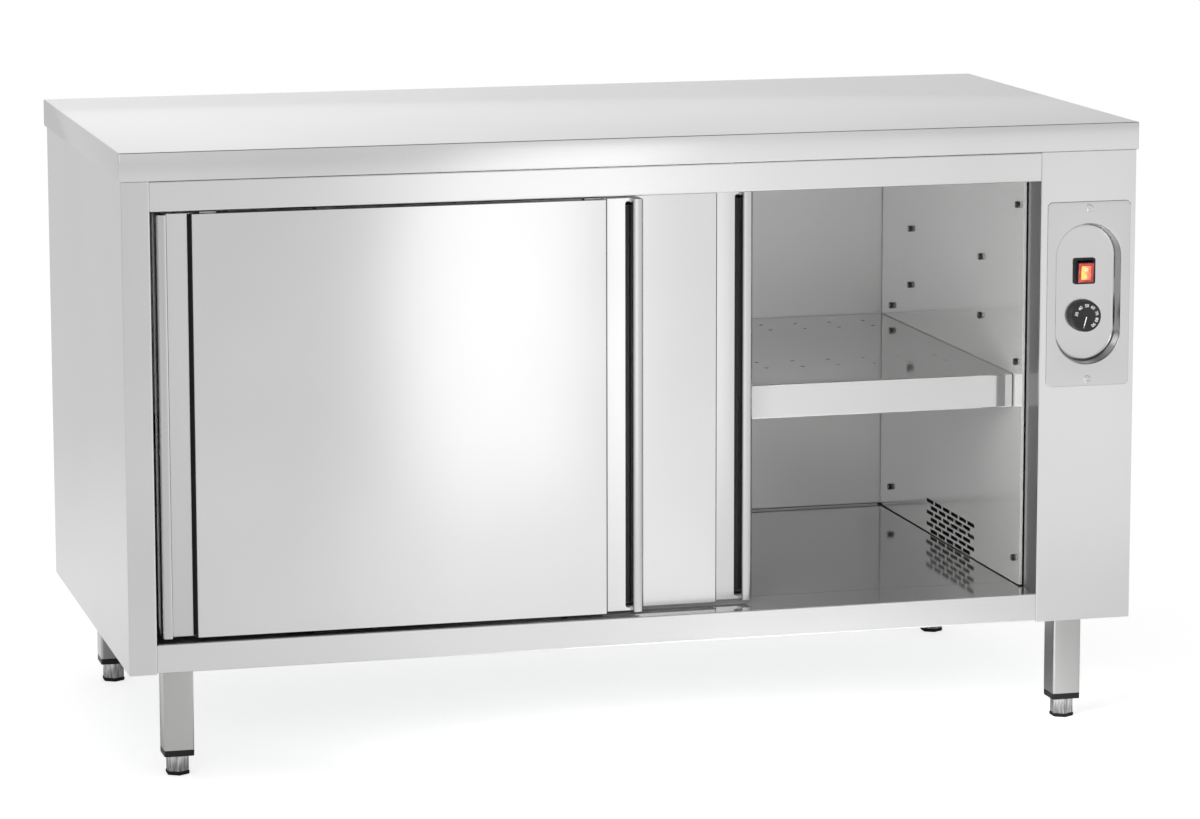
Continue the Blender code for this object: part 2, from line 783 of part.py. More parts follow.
def make_side_lining():
    """Inner side walls with shelf studs; the right one is pierced by the air grille."""
    sunk = GAUGE / 2
    for name, face, outward in (("inner_left_wall", lining_left, -1),
                                ("inner_right_wall", lining_right, 1)):
        wall = folded_sheet(
            name,
            [(face, lining_front), (face, lining_back - FIT),
             (face + outward * LINING_RETURN, lining_back - FIT)],
            "Z", wall_bottom, wall_top, LINING, side=-outward)
        ends = sorted((face + outward * sunk, face - outward * STUD_LENGTH))
        studs = [cylinder(place_yz, "X", STUD_RADIUS, ends[0], ends[1], sides=STUD_SEGMENTS)
                 for place_yz in stud_places()]
        weld(wall, join(studs), f"{name}_studs")
        if outward > 0:
            cut(wall, grille_slots(), "grille_cut")


def make_other_lining():
    """Inner back, floor and ceiling."""
    folded_sheet("inner_back_wall",
                 [(lining_back + BACK_WALL_FLANGE, wall_bottom), (lining_back, wall_bottom),
                  (lining_back, wall_top), (lining_back + BACK_WALL_FLANGE, wall_top)],
                 "X", lining_left - LINING_RETURN, lining_right + LINING_RETURN, LINING, side=-1)
    folded_sheet("inner_floor",
                 [(sill_back + FIT, lining_floor - FLOOR_FLANGE), (sill_back + FIT, lining_floor),
                  (lining_back - FIT, lining_floor), (lining_back - FIT, lining_floor - FLOOR_FLANGE)],
                 "X", lining_left - GAUGE, lining_right + GAUGE, LINING, side=-1)
    folded_sheet("inner_ceiling",
                 [(sill_back + FIT, body_top - CEILING_FLANGE), (sill_back + FIT, body_top),
                  (lining_back - FIT, body_top), (lining_back - FIT, body_top - CEILING_FLANGE)],
                 "X", lining_left + FIT, lining_right - FIT, LINING, side=-1)


def make_insulation():
    """Slabs of mineral wool beside, behind and below the lining."""
    inner = INSULATION_GAP
    above_pan = pan_bottom + PAN_LIP + FIT
    block("left_insulation", (body_left + inner, lining_front + inner, above_pan),
          (opening_left - inner, lining_back - FIT - GAUGE - inner, wall_top), WOOL)
    block("back_insulation",
          (lining_left - LINING_RETURN, lining_back + inner, wall_bottom + inner),
          (lining_right + LINING_RETURN, pan_back - FIT, wall_top - inner), WOOL)
    block("floor_insulation",
          (lining_left, sill_back + inner + FIT, pan_bottom + GAUGE + FIT),
          (lining_right, lining_back - inner - FIT, lining_floor - inner), WOOL)


def make_running_gear():
    """Beam with a beaded ledge for each door, and the guide on the sill."""
    top = track_top
    web = TRACK_WEB / 2
    low = ledge_top - TRACK_LEDGE
    bead_middle = (wheel_near + wheel_far) / 2
    half = [(web, top - TRACK_WEB), (web, ledge_top),
            (bead_middle - BEAD / 2, ledge_top), (bead_middle - BEAD / 2, ledge_top + BEAD),
            (bead_middle + BEAD / 2, ledge_top + BEAD), (bead_middle + BEAD / 2, ledge_top),
            (ledge_reach, ledge_top), (ledge_reach, low)]
    right_side = [(TRACK_TOP_WIDTH / 2, top), (TRACK_TOP_WIDTH / 2, top - TRACK_WEB)] + half
    left_side = [(-y, z) for y, z in reversed(right_side)]
    outline = [(track_y + y, z) for y, z in right_side + left_side]
    place(prism(outline, "X", opening_left + TRACK_END_GAP, opening_right - TRACK_END_GAP),
          "door_track", STEEL)
    fin_low = opening_bottom + FIT
    start = opening_left + GUIDE_START
    channel_middle = DOOR_THICKNESS - CHANNEL_WIDTH / 2 - DOOR_SKIN - CHANNEL_BACK
    front_fin = front_door_y + channel_middle
    rear_fin = rear_door_y + channel_middle
    half_fin = GUIDE_FIN / 2
    guide = [(front_fin - half_fin, fin_low), (rear_fin + half_fin, fin_low),
             (rear_fin + half_fin, fin_low + GUIDE_HEIGHT), (rear_fin - half_fin, fin_low + GUIDE_HEIGHT),
             (rear_fin - half_fin, fin_low + GUIDE_BASE), (front_fin + half_fin, fin_low + GUIDE_BASE),
             (front_fin + half_fin, fin_low + GUIDE_HEIGHT), (front_fin - half_fin, fin_low + GUIDE_HEIGHT)]
    place(prism(guide, "X", start, start + GUIDE_LENGTH), "door_guide", NYLON)


def door_outline(x, y):
    """Plan of a door's front skin: rolled lips, sunk margins and the proud middle panel."""
    right = x + door_width
    relief = y + DOOR_RELIEF
    back = y + DOOR_THICKNESS
    seam = relief + SEAM_DEPTH
    panel_left, panel_right = x + LEFT_MARGIN, right - RIGHT_MARGIN
    left_roll = rounded([(x, back), (x, y), (x + DOOR_LIP, y)], DOOR_LIP_RADIUS, 3)
    right_roll = rounded([(right - DOOR_LIP, y), (right, y), (right, back)], DOOR_LIP_RADIUS, 3)
    margins = [(x + DOOR_LIP, relief), (panel_left - SEAM_WIDTH, relief), (panel_left - SEAM_WIDTH, seam),
               (panel_left, seam), (panel_left, y), (panel_right, y), (panel_right, seam),
               (panel_right + SEAM_WIDTH, seam), (panel_right + SEAM_WIDTH, relief),
               (right - DOOR_LIP, relief)]
    return left_roll + margins + right_roll


def make_door(side, x, y, towards_track):
    """One sliding door: skin, liner, core, finger trough, hangers and wheels."""
    origin = (x + door_width / 2, y + DOOR_THICKNESS / 2, wheel_z)
    back = y + DOOR_THICKNESS
    right = x + door_width
    relief = y + DOOR_RELIEF
    skin = shell_from(prism(door_outline(x, y), "Z", door_bottom, door_top),
                      lambda face: face.normal.y > 0.99 and face.calc_center_median().y > back - 1e-5,
                      f"{side}_door_skin", STEEL, DOOR_SKIN, origin=origin)
    groove_right = right - DOOR_LIP
    groove_left = groove_right - GROOVE_WIDTH
    groove = rounded([(groove_left, door_bottom + GROOVE_END), (groove_right, door_bottom + GROOVE_END),
                      (groove_right, door_top - GROOVE_END), (groove_left, door_top - GROOVE_END)],
                     GROOVE_CORNER, 3, closed=True)
    cut(skin, prism(groove, "Y", relief - DOOR_SKIN, relief + 2 * DOOR_SKIN), f"{side}_groove_slot")
    channel_front = back - DOOR_SKIN - CHANNEL_BACK - CHANNEL_WIDTH
    cut(skin, cuboid((x - PUNCH, channel_front, door_bottom - PUNCH),
                     (right + PUNCH, back + PUNCH, door_bottom + CHANNEL_DEPTH)),
        f"{side}_channel_cut")

    inner = DOOR_SKIN + FIT
    shell_from(
        cuboid((x + inner, channel_front + CHANNEL_WIDTH, door_bottom),
               (right - inner, back, door_top - inner)),
        lambda face: face.normal.y < -0.99, f"{side}_door_liner", LINING, DOOR_SKIN, origin=origin)

    block(f"{side}_door_core",
          (x + LEFT_MARGIN + inner, y + inner, door_bottom + 2 * CHANNEL_DEPTH),
          (right - RIGHT_MARGIN - inner, back - inner, door_top - 2 * inner), WOOL, origin)

    trough_front = relief + inner
    wall = TROUGH_WALL
    shell_from(cuboid((groove_left - wall, trough_front, door_bottom + GROOVE_END - wall),
                      (groove_right + wall, trough_front + GROOVE_DEPTH, door_top - GROOVE_END + wall)),
               lambda face: face.normal.y < -0.99, f"{side}_finger_trough", BLACK, wall, origin=origin)

    plate_near = track_y + towards_track * -hanger_near
    plate_far = plate_near - towards_track * HANGER_PLATE
    foot_far = plate_near - towards_track * HANGER_FOOT
    foot_low = door_top + FIT
    axle_end = track_y - towards_track * (wheel_near + FIT)
    for index, centre_x in enumerate((x + HANGER_INSET, right - HANGER_INSET), start=1):
        half = HANGER_WIDTH / 2
        outline = [(plate_near, foot_low), (foot_far, foot_low), (foot_far, foot_low + HANGER_PLATE),
                   (plate_far, foot_low + HANGER_PLATE), (plate_far, wheel_z + HANGER_HEAD),
                   (plate_near, wheel_z + HANGER_HEAD)]
        hanger = place(prism(outline, "X", centre_x - half, centre_x + half),
                       f"{side}_hanger_{index}", ZINC, origin)
        ends = sorted((axle_end, plate_near - towards_track * HANGER_PLATE / 2))
        weld(hanger, cylinder((centre_x, wheel_z), "Y", AXLE_RADIUS, ends[0], ends[1], SMALL_SEGMENTS),
             f"{side}_axle_{index}")
        middle = track_y - towards_track * (wheel_near + wheel_far) / 2
        make_wheel(f"{side}_wheel_{index}", (centre_x, middle, wheel_z))


def make_wheel(name, centre):
    """Grooved nylon wheel that rides on a bead of the track."""
    half = WHEEL_WIDTH / 2
    groove = WHEEL_GROOVE_WIDTH / 2
    flank = groove + WHEEL_GROOVE_DRAFT
    bore = AXLE_RADIUS + FIT
    outline = [(WHEEL_RADIUS, half), (WHEEL_RADIUS, flank), (WHEEL_GROOVE_RADIUS, groove),
               (WHEEL_GROOVE_RADIUS, -groove), (WHEEL_RADIUS, -flank), (WHEEL_RADIUS, -half),
               (bore, -half), (bore, half)]
    turned(name, outline, "Y", centre, NYLON, SMALL_SEGMENTS)


def make_shelf():
    """Shelf folded down all round, deeper at the front, and pierced with small holes."""
    side_bottom = STUD_LOWEST + STUD_RADIUS + FIT
    top = side_bottom + SHELF_SIDE_LIP
    low_x, high_x = lining_left + SHELF_SIDE_GAP, lining_right - SHELF_SIDE_GAP
    front, back = sill_back + FIT, lining_back - SHELF_SIDE_GAP
    shelf = tray("shelf", (low_x, front, top - SHELF_LIP), (high_x, back, top), True,
                 SHELF_RETURN, LINING)
    cut(shelf, cuboid((low_x - PUNCH, front + SHELF_RETURN + GAUGE, top - SHELF_LIP - PUNCH),
                      (high_x + PUNCH, back + PUNCH, side_bottom)), "shelf_lip_cut")
    count = int((high_x - low_x) / SHELF_HOLE_PITCH - 0.5)
    middle = (low_x + high_x) / 2
    holes = []
    for row_y in (front + SHELF_FRONT_ROW, front + SHELF_FRONT_ROW + SHELF_ROW_GAP,
                  back - SHELF_REAR_ROW - SHELF_ROW_GAP, back - SHELF_REAR_ROW):
        for index in range(count):
            hole_x = middle + SHELF_HOLE_PITCH * (index - (count - 1) / 2)
            holes.append(cylinder((hole_x, row_y), "Z", SHELF_HOLE_RADIUS, top - PUNCH, top + PUNCH,
                                  sides=6))
    cut(shelf, join(holes), "shelf_holes")


def leg_places():
    """Name and centre of each leg."""
    from_x = LEG_INSET_X + LEG_SIDE / 2
    from_y = LEG_INSET_Y + LEG_SIDE / 2
    for side, x in (("left", LEFT + from_x), ("right", RIGHT - from_x)):
        for end, y in (("front", FRONT + from_y), ("rear", BACK - from_y)):
            yield f"{end}_{side}", x, y


def make_legs():
    """Square tube legs, their end plugs and the adjustable feet."""
    half = LEG_SIDE / 2
    cap_bottom = FOOT_SOLE_HEIGHT + FOOT_HEX_HEIGHT + FIT
    leg_bottom = cap_bottom + CAP_COLLAR + FIT
    for place_name, x, y in leg_places():
        square = rounded([(x - half, y - half), (x + half, y - half), (x + half, y + half),
                          (x - half, y + half)], 2 * LEG_WALL, FOLD_SEGMENTS, closed=True)
        leg = place(prism(square, "Z", leg_bottom, pan_bottom - FIT), f"{place_name}_leg", STEEL)
        bore = half - LEG_WALL
        cut(leg, cuboid((x - bore, y - bore, leg_bottom - PUNCH), (x + bore, y + bore, pan_bottom + PUNCH)),
            f"{place_name}_leg_bore")
        cap = place(prism(square, "Z", cap_bottom, leg_bottom - FIT), f"{place_name}_leg_plug", BLACK)
        plug = bore - FIT
        weld(cap, cuboid((x - plug, y - plug, leg_bottom - CAP_COLLAR / 2),
                         (x + plug, y + plug, leg_bottom + CAP_PLUG)), f"{place_name}_plug_body")
        cut(cap, cylinder((x, y), "Z", SPINDLE_RADIUS + FIT, cap_bottom - PUNCH,
                          leg_bottom + CAP_PLUG + PUNCH, SMALL_SEGMENTS), f"{place_name}_plug_bore")
        sole_radius = FOOT_SOLE / math.sqrt(3)
        foot = place(cylinder((x, y), "Z", sole_radius - FOOT_SOLE_TAPER, 0, FOOT_SOLE_HEIGHT, sides=6,
                              radius_stop=sole_radius),
                     f"{place_name}_foot", FOOT, (x, y, 0))
        hex_radius = FOOT_HEX / math.sqrt(3)
        hex_top = FOOT_SOLE_HEIGHT + FOOT_HEX_HEIGHT
        weld(foot, cylinder((x, y), "Z", hex_radius, FOOT_SOLE_HEIGHT - FIT, hex_top, sides=6),
             f"{place_name}_foot_nut")
        weld(foot, cylinder((x, y), "Z", SPINDLE_RADIUS, hex_top - GAUGE, hex_top + SPINDLE_LENGTH,
                            SMALL_SEGMENTS), f"{place_name}_foot_spindle")


def recess_rings(wall):
    """Rings down the recess, on its seen face where wall is 0 and on its back at the sheet's gauge."""
    rim, fillet = RECESS_RIM - wall, RECESS_FILLET + wall
    bottom_radius = RECESS_RADIUS - RECESS_DRAFT - RECESS_FILLET
    steps = [step / FILLET_SEGMENTS * math.pi / 2 for step in range(FILLET_SEGMENTS + 1)]
    rings = [stadium(RECESS_RADIUS + RECESS_RIM - rim * math.sin(turn),
                     plate_front + RECESS_RIM - rim * math.cos(turn)) for turn in steps[1:]]
    return rings + [stadium(bottom_radius + fillet * math.cos(turn),
                            recess_floor_y - RECESS_FILLET + fillet * math.sin(turn)) for turn in steps]


def make_control_plate():
    """Plate pressed with a long round-ended recess, pierced for the switch and the shaft."""
    half_x, half_z = PLATE_WIDTH / 2, PLATE_HEIGHT / 2
    outline = rounded([(panel_x - half_x, plate_z - half_z), (panel_x + half_x, plate_z - half_z),
                       (panel_x + half_x, plate_z + half_z), (panel_x - half_x, plate_z + half_z)],
                      PLATE_CORNER, 3, closed=True)
    plate = place(prism(outline, "Y", plate_front, plate_front + PLATE_GAUGE), "control_plate", STEEL)
    mouth = RECESS_RADIUS + RECESS_RIM
    weld(plate, loft([stadium(mouth, plate_front + PLATE_GAUGE / 2)] + recess_rings(PLATE_GAUGE)),
         "recess_outside")
    cut(plate, loft([stadium(mouth, plate_front - PLATE_GAUGE)] + recess_rings(0)), "recess_inside")
    body_x, body_z = SWITCH_BODY_WIDTH / 2 + FIT, SWITCH_BODY_HEIGHT / 2 + FIT
    cut(plate, cuboid((panel_x - body_x, recess_floor_y - PUNCH, switch_z - body_z),
                      (panel_x + body_x, recess_floor_y + PUNCH, switch_z + body_z)), "switch_hole")
    cut(plate, cylinder((panel_x, knob_z), "Y", SHAFT_RADIUS + SHAFT_HOLE_GAP, recess_floor_y - PUNCH,
                        recess_floor_y + PUNCH, SMALL_SEGMENTS), "shaft_hole")


def make_switch():
    """Switch body with its bezel, and the rocker that tips in it."""
    front = recess_floor_y - FIT - BEZEL_THICKNESS
    half_x, half_z = BEZEL_WIDTH / 2, BEZEL_HEIGHT / 2
    bezel = rounded([(panel_x - half_x, switch_z - half_z), (panel_x + half_x, switch_z - half_z),
                     (panel_x + half_x, switch_z + half_z), (panel_x - half_x, switch_z + half_z)],
                    BEZEL_CORNER, closed=True)
    body = place(prism(bezel, "Y", front, recess_floor_y - FIT), "switch_body", BLACK)
    body_x, body_z = SWITCH_BODY_WIDTH / 2, SWITCH_BODY_HEIGHT / 2
    weld(body, cuboid((panel_x - body_x, front + BEZEL_THICKNESS / 2, switch_z - body_z),
                      (panel_x + body_x, recess_floor_y + SWITCH_BODY_DEPTH, switch_z + body_z)),
         "switch_housing")
    well_x = ROCKER_WIDTH / 2 + 2 * FIT
    well_z = ROCKER_HEIGHT / 2 + ROCKER_END_GAP
    cut(body, cuboid((panel_x - well_x, front - PUNCH, switch_z - well_z),
                     (panel_x + well_x, recess_floor_y + SWITCH_WELL_DEPTH, switch_z + well_z)),
        "switch_well")
    pivot = (panel_x, recess_floor_y + ROCKER_AXIS_DEPTH, switch_z)
    half_x, half_z = ROCKER_WIDTH / 2, ROCKER_HEIGHT / 2
    crown = front - ROCKER_RISE
    edge = half_z - ROCKER_EDGE
    foot = half_z - ROCKER_FOOT
    side = [(crown + ROCKER_EDGE, switch_z + half_z), (crown, switch_z + edge),
            (crown + ROCKER_HOLLOW, switch_z), (crown, switch_z - edge),
            (crown + ROCKER_EDGE, switch_z - half_z), (pivot[1], switch_z - half_z),
            (pivot[1] + ROCKER_FOOT, switch_z - foot), (pivot[1] + ROCKER_FOOT, switch_z + foot),
            (pivot[1], switch_z + half_z)]
    rocker = prism(side, "X", panel_x - half_x, panel_x + half_x)
    bmesh.ops.rotate(rocker, cent=pivot, matrix=Matrix.Rotation(ROCKER_TIP, 3, "X"), verts=rocker.verts)
    place(rocker, "rocker", RED, pivot)


def make_thermostat():
    """Thermostat behind the recess, its dial knob, and the bulb that feels the air."""
    back = recess_floor_y + PLATE_GAUGE + FIT
    knob_front = recess_floor_y - FIT - KNOB_HEIGHT
    body = place(cylinder((panel_x, knob_z), "Y", THERMOSTAT_RADIUS, back, back + THERMOSTAT_LENGTH),
                 "thermostat", ZINC, smooth=True)
    weld(body, cylinder((panel_x, knob_z), "Y", SHAFT_RADIUS, knob_front + KNOB_HEIGHT - KNOB_SOCKET + FIT,
                        back + GAUGE, SMALL_SEGMENTS), "thermostat_shaft")
    height = KNOB_HEIGHT
    face_radius = KNOB_RADIUS - KNOB_TAPER
    bore = SHAFT_RADIUS + FIT
    outline = [(0, height), (face_radius - KNOB_EDGE, height), (face_radius, height - KNOB_EDGE),
               (KNOB_RADIUS, KNOB_FOOT), (KNOB_RADIUS, 0), (bore, 0), (bore, KNOB_SOCKET), (0, KNOB_SOCKET)]
    knob = turned("thermostat_knob", outline, "Y", (panel_x, recess_floor_y - FIT, knob_z), BLACK, 32)
    knob.rotation_euler = (math.radians(90), 0, 0)

    tail = (panel_x, back + THERMOSTAT_LENGTH + FIT, knob_z)
    bulb = (duct_right + BULB_RADIUS + BULB_GAP, duct_y - BULB_SETBACK - BULB_LENGTH, knob_z - BULB_FALL)
    leaving = (tail[0], tail[1] + CAPILLARY_TAIL, tail[2])
    arriving = (bulb[0], bulb[1] - CAPILLARY_TAIL, bulb[2])
    halfway = (bulb[0], (leaving[1] + arriving[1]) / 2, (leaving[2] + arriving[2]) / 2)
    inside_bulb = (bulb[0], bulb[1] + BULB_RADIUS, bulb[2])
    sensor = tube_along("thermostat_bulb",
                        bent_path([tail, leaving, halfway, arriving, inside_bulb], CAPILLARY_BEND),
                        CAPILLARY_RADIUS, COPPER)
    weld(sensor, cylinder((bulb[0], bulb[2]), "Y", BULB_RADIUS, bulb[1], bulb[1] + BULB_LENGTH, sides=12),
         "bulb")


def volute_outline():
    """Side outline of the fan housing: a growing spiral that runs down into the wide air duct."""
    low, high = duct_bottom, duct_bottom + DUCT_HEIGHT
    front, back = duct_y - DUCT_LENGTH / 2, duct_y + DUCT_LENGTH / 2
    spiral = []
    for step in range(VOLUTE_STEPS + 1):
        share = step / VOLUTE_STEPS
        angle = VOLUTE_START + VOLUTE_SWEEP * share
        radius = VOLUTE_RADIUS + VOLUTE_GROWTH * share
        spiral.append((fan_y + radius * math.cos(angle), fan_z + radius * math.sin(angle)))
    return [(front, low), (back, low), (back, high)] + spiral + [(front, high)]


def heater_levels():
    """Heights of the two runs of the heating element."""
    middle = duct_bottom + HEATER_RISE
    return middle - HEATER_GAP / 2, middle + HEATER_GAP / 2


def make_fan():
    """Fan housing over the grille, radial impeller, motor and heating element."""
    housing = shell_from(prism(volute_outline(), "X", duct_left, duct_right),
                         lambda face: face.normal.x < -0.99, "fan_housing", ZINC, DUCT_WALL)
    cut(housing, cylinder((fan_y, fan_z), "X", INTAKE_RADIUS, duct_right - PUNCH, duct_right + PUNCH),
        "fan_intake")
    heater_y = duct_y + HEATER_SPAN / 2
    for index, level in enumerate(heater_levels()):
        cut(housing, cylinder((heater_y, level), "X", HEATER_RADIUS + 2 * FIT, duct_right - PUNCH,
                              duct_right + PUNCH, SMALL_SEGMENTS), f"heater_hole_{index}")
    make_impeller()
    make_motor()
    run_x = (duct_left + duct_right) / 2
    low, high = heater_levels()
    out_x = duct_right + HEATER_TAIL
    path = bent_path([(out_x, heater_y, low), (run_x, heater_y, low), (run_x, heater_y - HEATER_SPAN, low),
                      (run_x, heater_y - HEATER_SPAN, high), (run_x, heater_y, high),
                      (out_x, heater_y, high)], HEATER_GAP / 2)
    tube_along("heating_element", path, HEATER_RADIUS, COPPER)


def make_impeller():
    """Radial impeller: hub, back plate, curved blades and a front ring."""
    left = duct_left + DUCT_WALL + IMPELLER_GAP
    right = left + IMPELLER_WIDTH
    origin = (left, fan_y, fan_z)
    wheel = place(cylinder((fan_y, fan_z), "X", IMPELLER_RADIUS, left, left + IMPELLER_PLATE,
                           sides=IMPELLER_BLADES * 2), "fan_impeller", ZINC, origin)
    blades = []
    inner_radius = IMPELLER_RADIUS - BLADE_CHORD
    for index in range(IMPELLER_BLADES):
        turn = 2 * math.pi * index / IMPELLER_BLADES
        front_line, back_line = [], []
        for step in range(3):
            share = step / 2
            radius = inner_radius + (BLADE_CHORD - BLADE_INSET) * share
            lead = BLADE_LEAD * share ** 2
            for line, offset in ((front_line, 0.5), (back_line, -0.5)):
                angle = turn + lead + offset * BLADE_THICKNESS / radius
                line.append((fan_y + radius * math.cos(angle), fan_z + radius * math.sin(angle)))
        blades.append(prism(front_line + back_line[::-1], "X", left + IMPELLER_PLATE / 2,
                            right - IMPELLER_PLATE / 2))
    weld(wheel, join(blades), "blades")
    ring = cylinder((fan_y, fan_z), "X", IMPELLER_RADIUS, right - IMPELLER_PLATE, right,
                    sides=IMPELLER_BLADES * 2)
    weld(wheel, ring, "front_ring")
    cut(wheel, cylinder((fan_y, fan_z), "X", inner_radius + EYE_MARGIN, left + IMPELLER_PLATE + EYE_DEPTH,
                        right + PUNCH, sides=IMPELLER_BLADES), "eye")
    hub_end = left + HUB_LENGTH
    weld(wheel, cylinder((fan_y, fan_z), "X", HUB_RADIUS, left + IMPELLER_PLATE / 2, hub_end,
                         SMALL_SEGMENTS), "hub")
    cut(wheel, cylinder((fan_y, fan_z), "X", MOTOR_SHAFT_RADIUS + FIT, left - PUNCH, hub_end + PUNCH,
                        sides=12), "shaft_bore")


def make_motor():
    """Motor on a three-armed spider over the fan intake."""
    face = duct_right + MOTOR_STANDOFF
    motor = place(cylinder((fan_y, fan_z), "X", MOTOR_RADIUS, face, face + MOTOR_LENGTH), "fan_motor",
                  ZINC, smooth=True)
    spider = duct_right + FIT
    arms = []
    for index in range(3):
        arm = cuboid((spider, fan_y - SPIDER_ARM / 2, fan_z + MOTOR_RADIUS - SPIDER_ARM / 2),
                     (face + SPIDER_ARM, fan_y + SPIDER_ARM / 2, fan_z + INTAKE_RADIUS + SPIDER_REACH))
        bmesh.ops.rotate(arm, cent=(0, fan_y, fan_z), verts=arm.verts,
                         matrix=Matrix.Rotation(SPIDER_ANGLE + 2 * math.pi * index / 3, 3, "X"))
        arms.append(arm)
    weld(motor, join(arms), "spider_arms")
    shaft_end = duct_left + DUCT_WALL + 2 * IMPELLER_GAP
    weld(motor, cylinder((fan_y, fan_z), "X", MOTOR_SHAFT_RADIUS, shaft_end, face + GAUGE, sides=12),
         "motor_shaft")


def gland_place():
    """Where the mains lead enters the base, behind the fan."""
    return (compartment_left + body_right) / 2, lining_back - GLAND_FROM_LINING


def make_wiring():
    """Terminal block on the base pan and the gland for the mains lead."""
    floor_z = pan_bottom + GAUGE + FIT
    centre_x, gland_y = gland_place()
    front = gland_y - TERMINAL_SETBACK
    half = TERMINAL_WIDTH / 2
    step = TERMINAL_LENGTH / TERMINAL_POLES
    top, seat = floor_z + TERMINAL_HEIGHT, floor_z + TERMINAL_SEAT
    outline = [(front, floor_z), (front + TERMINAL_LENGTH + TERMINAL_RIB, floor_z)]
    for pole in reversed(range(TERMINAL_POLES)):
        start = front + pole * step
        outline += [(start + step + TERMINAL_RIB, top), (start + step, top),
                    (start + step, seat), (start + TERMINAL_RIB, seat)]
    outline += [(front + TERMINAL_RIB, top), (front, top)]
    place(prism(outline, "X", centre_x - half, centre_x + half), "terminal_block", NYLON)

    hex_radius = GLAND_HEX / math.sqrt(3)
    centre = (centre_x, gland_y)
    stem_top = pan_bottom + GAUGE + GLAND_STEM
    gland = place(cylinder(centre, "Z", GLAND_RADIUS, pan_bottom - GLAND_FLANGE / 2, stem_top,
                           SMALL_SEGMENTS), "cable_gland", BLACK)
    weld(gland, cylinder(centre, "Z", hex_radius, pan_bottom - FIT - GLAND_FLANGE, pan_bottom - FIT, sides=6),
         "gland_flange")
    weld(gland, cylinder(centre, "Z", GLAND_MOUTH, pan_bottom - GLAND_DOME, pan_bottom - GLAND_FLANGE,
                         SMALL_SEGMENTS, radius_stop=GLAND_SHOULDER), "gland_dome")
    weld(gland, cylinder(centre, "Z", hex_radius, floor_z, floor_z + GLAND_FLANGE, sides=6),
         "gland_locknut")
    cut(gland, cylinder(centre, "Z", GLAND_BORE, pan_bottom - GLAND_DOME - PUNCH, stem_top + PUNCH,
                        sides=12), "gland_bore")


def build():
    """Makes every piece of the cabinet."""
    make_worktop()
    make_side_panels()
    make_control_fascia()
    make_rails()
    make_base_and_back()
    make_side_lining()
    make_other_lining()
    make_insulation()
    make_running_gear()
    make_door("left", left_door_x, front_door_y, 1)
    make_door("right", right_door_x, rear_door_y, -1)
    make_shelf()
    make_legs()
    make_control_plate()
    make_switch()
    make_thermostat()
    make_fan()
    make_wiring()


build()
bpy.context.view_layer.update()
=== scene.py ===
# %% [markdown]
# # A stainless steel warming cabinet
#
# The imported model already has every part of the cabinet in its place: the sheet metal carcass,
# the two hung doors, the shelf, the legs and the controls. This notebook dresses it. Pieces that
# show their edges to the eye are made again with finer bends, small fittings are added, and each
# surface gets a finish that follows what the real metal and plastic do.

# %% Load the frame
import math

import bmesh
import bpy
from mathutils import Matrix, Vector


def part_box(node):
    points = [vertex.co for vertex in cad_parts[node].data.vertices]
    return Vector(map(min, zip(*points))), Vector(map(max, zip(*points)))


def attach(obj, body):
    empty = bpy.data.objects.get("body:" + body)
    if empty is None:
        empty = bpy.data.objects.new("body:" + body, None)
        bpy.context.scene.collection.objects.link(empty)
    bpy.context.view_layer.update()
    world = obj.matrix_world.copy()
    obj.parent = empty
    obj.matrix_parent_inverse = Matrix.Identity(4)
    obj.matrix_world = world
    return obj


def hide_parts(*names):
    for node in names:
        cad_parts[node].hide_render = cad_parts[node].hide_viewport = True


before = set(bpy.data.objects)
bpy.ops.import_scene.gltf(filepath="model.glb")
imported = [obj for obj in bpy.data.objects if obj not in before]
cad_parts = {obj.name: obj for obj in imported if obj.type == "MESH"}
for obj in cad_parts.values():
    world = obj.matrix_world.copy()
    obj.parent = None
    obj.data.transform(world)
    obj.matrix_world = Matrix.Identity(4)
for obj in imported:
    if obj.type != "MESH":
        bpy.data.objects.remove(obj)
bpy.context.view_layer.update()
MM = 0.001


def placed(name, data):
    """A new object in the scene."""
    made = bpy.data.objects.new(name, data)
    bpy.context.scene.collection.objects.link(made)
    return made


# %% [markdown]
# ## The camera
#
# A product photograph like this one is taken with a long lens from the front left, a little above
# the worktop. The lens is shifted down slightly, so that the legs lean less. The camera's matrix is
# written out from its heading, its tilt and a very small roll.

# %% Camera
EYE = Vector((-1.5722, -6.1083, 1.5099))
HEADING, TILT, ROLL = 0.25676, 0.15854, -0.00178
PHOTO_WIDTH, FOCAL_PIXELS, SHIFT_DOWN = 1200, 4534.4, 0.05

flat = math.cos(TILT)
forward = Vector((math.sin(HEADING) * flat, math.cos(HEADING) * flat, -math.sin(TILT)))
level = Vector((math.cos(HEADING), -math.sin(HEADING), 0))
above = level.cross(forward)
right = level * math.cos(ROLL) + above * math.sin(ROLL)
up = above * math.cos(ROLL) - level * math.sin(ROLL)
lens = bpy.data.cameras.new("camera")
lens.sensor_width = 36
lens.lens = FOCAL_PIXELS * lens.sensor_width / PHOTO_WIDTH
lens.shift_y = -SHIFT_DOWN
lens.clip_end = 100
camera = placed("camera", lens)
camera.matrix_world = Matrix.Translation(EYE) @ Matrix((right, up, -forward)).transposed().to_4x4()
bpy.context.scene.camera = camera
print("lens", round(lens.lens, 1), "mm, shift", lens.shift_y)

# %% [markdown]
# ## Maths on surfaces
#
# A finish is a graph of nodes. Wiring each addition by hand hides what the graph means, so one
# small class wraps a node's output and lets Python's own operators add the Math nodes. A second
# class holds the tree that is being made and adds every other kind of node.

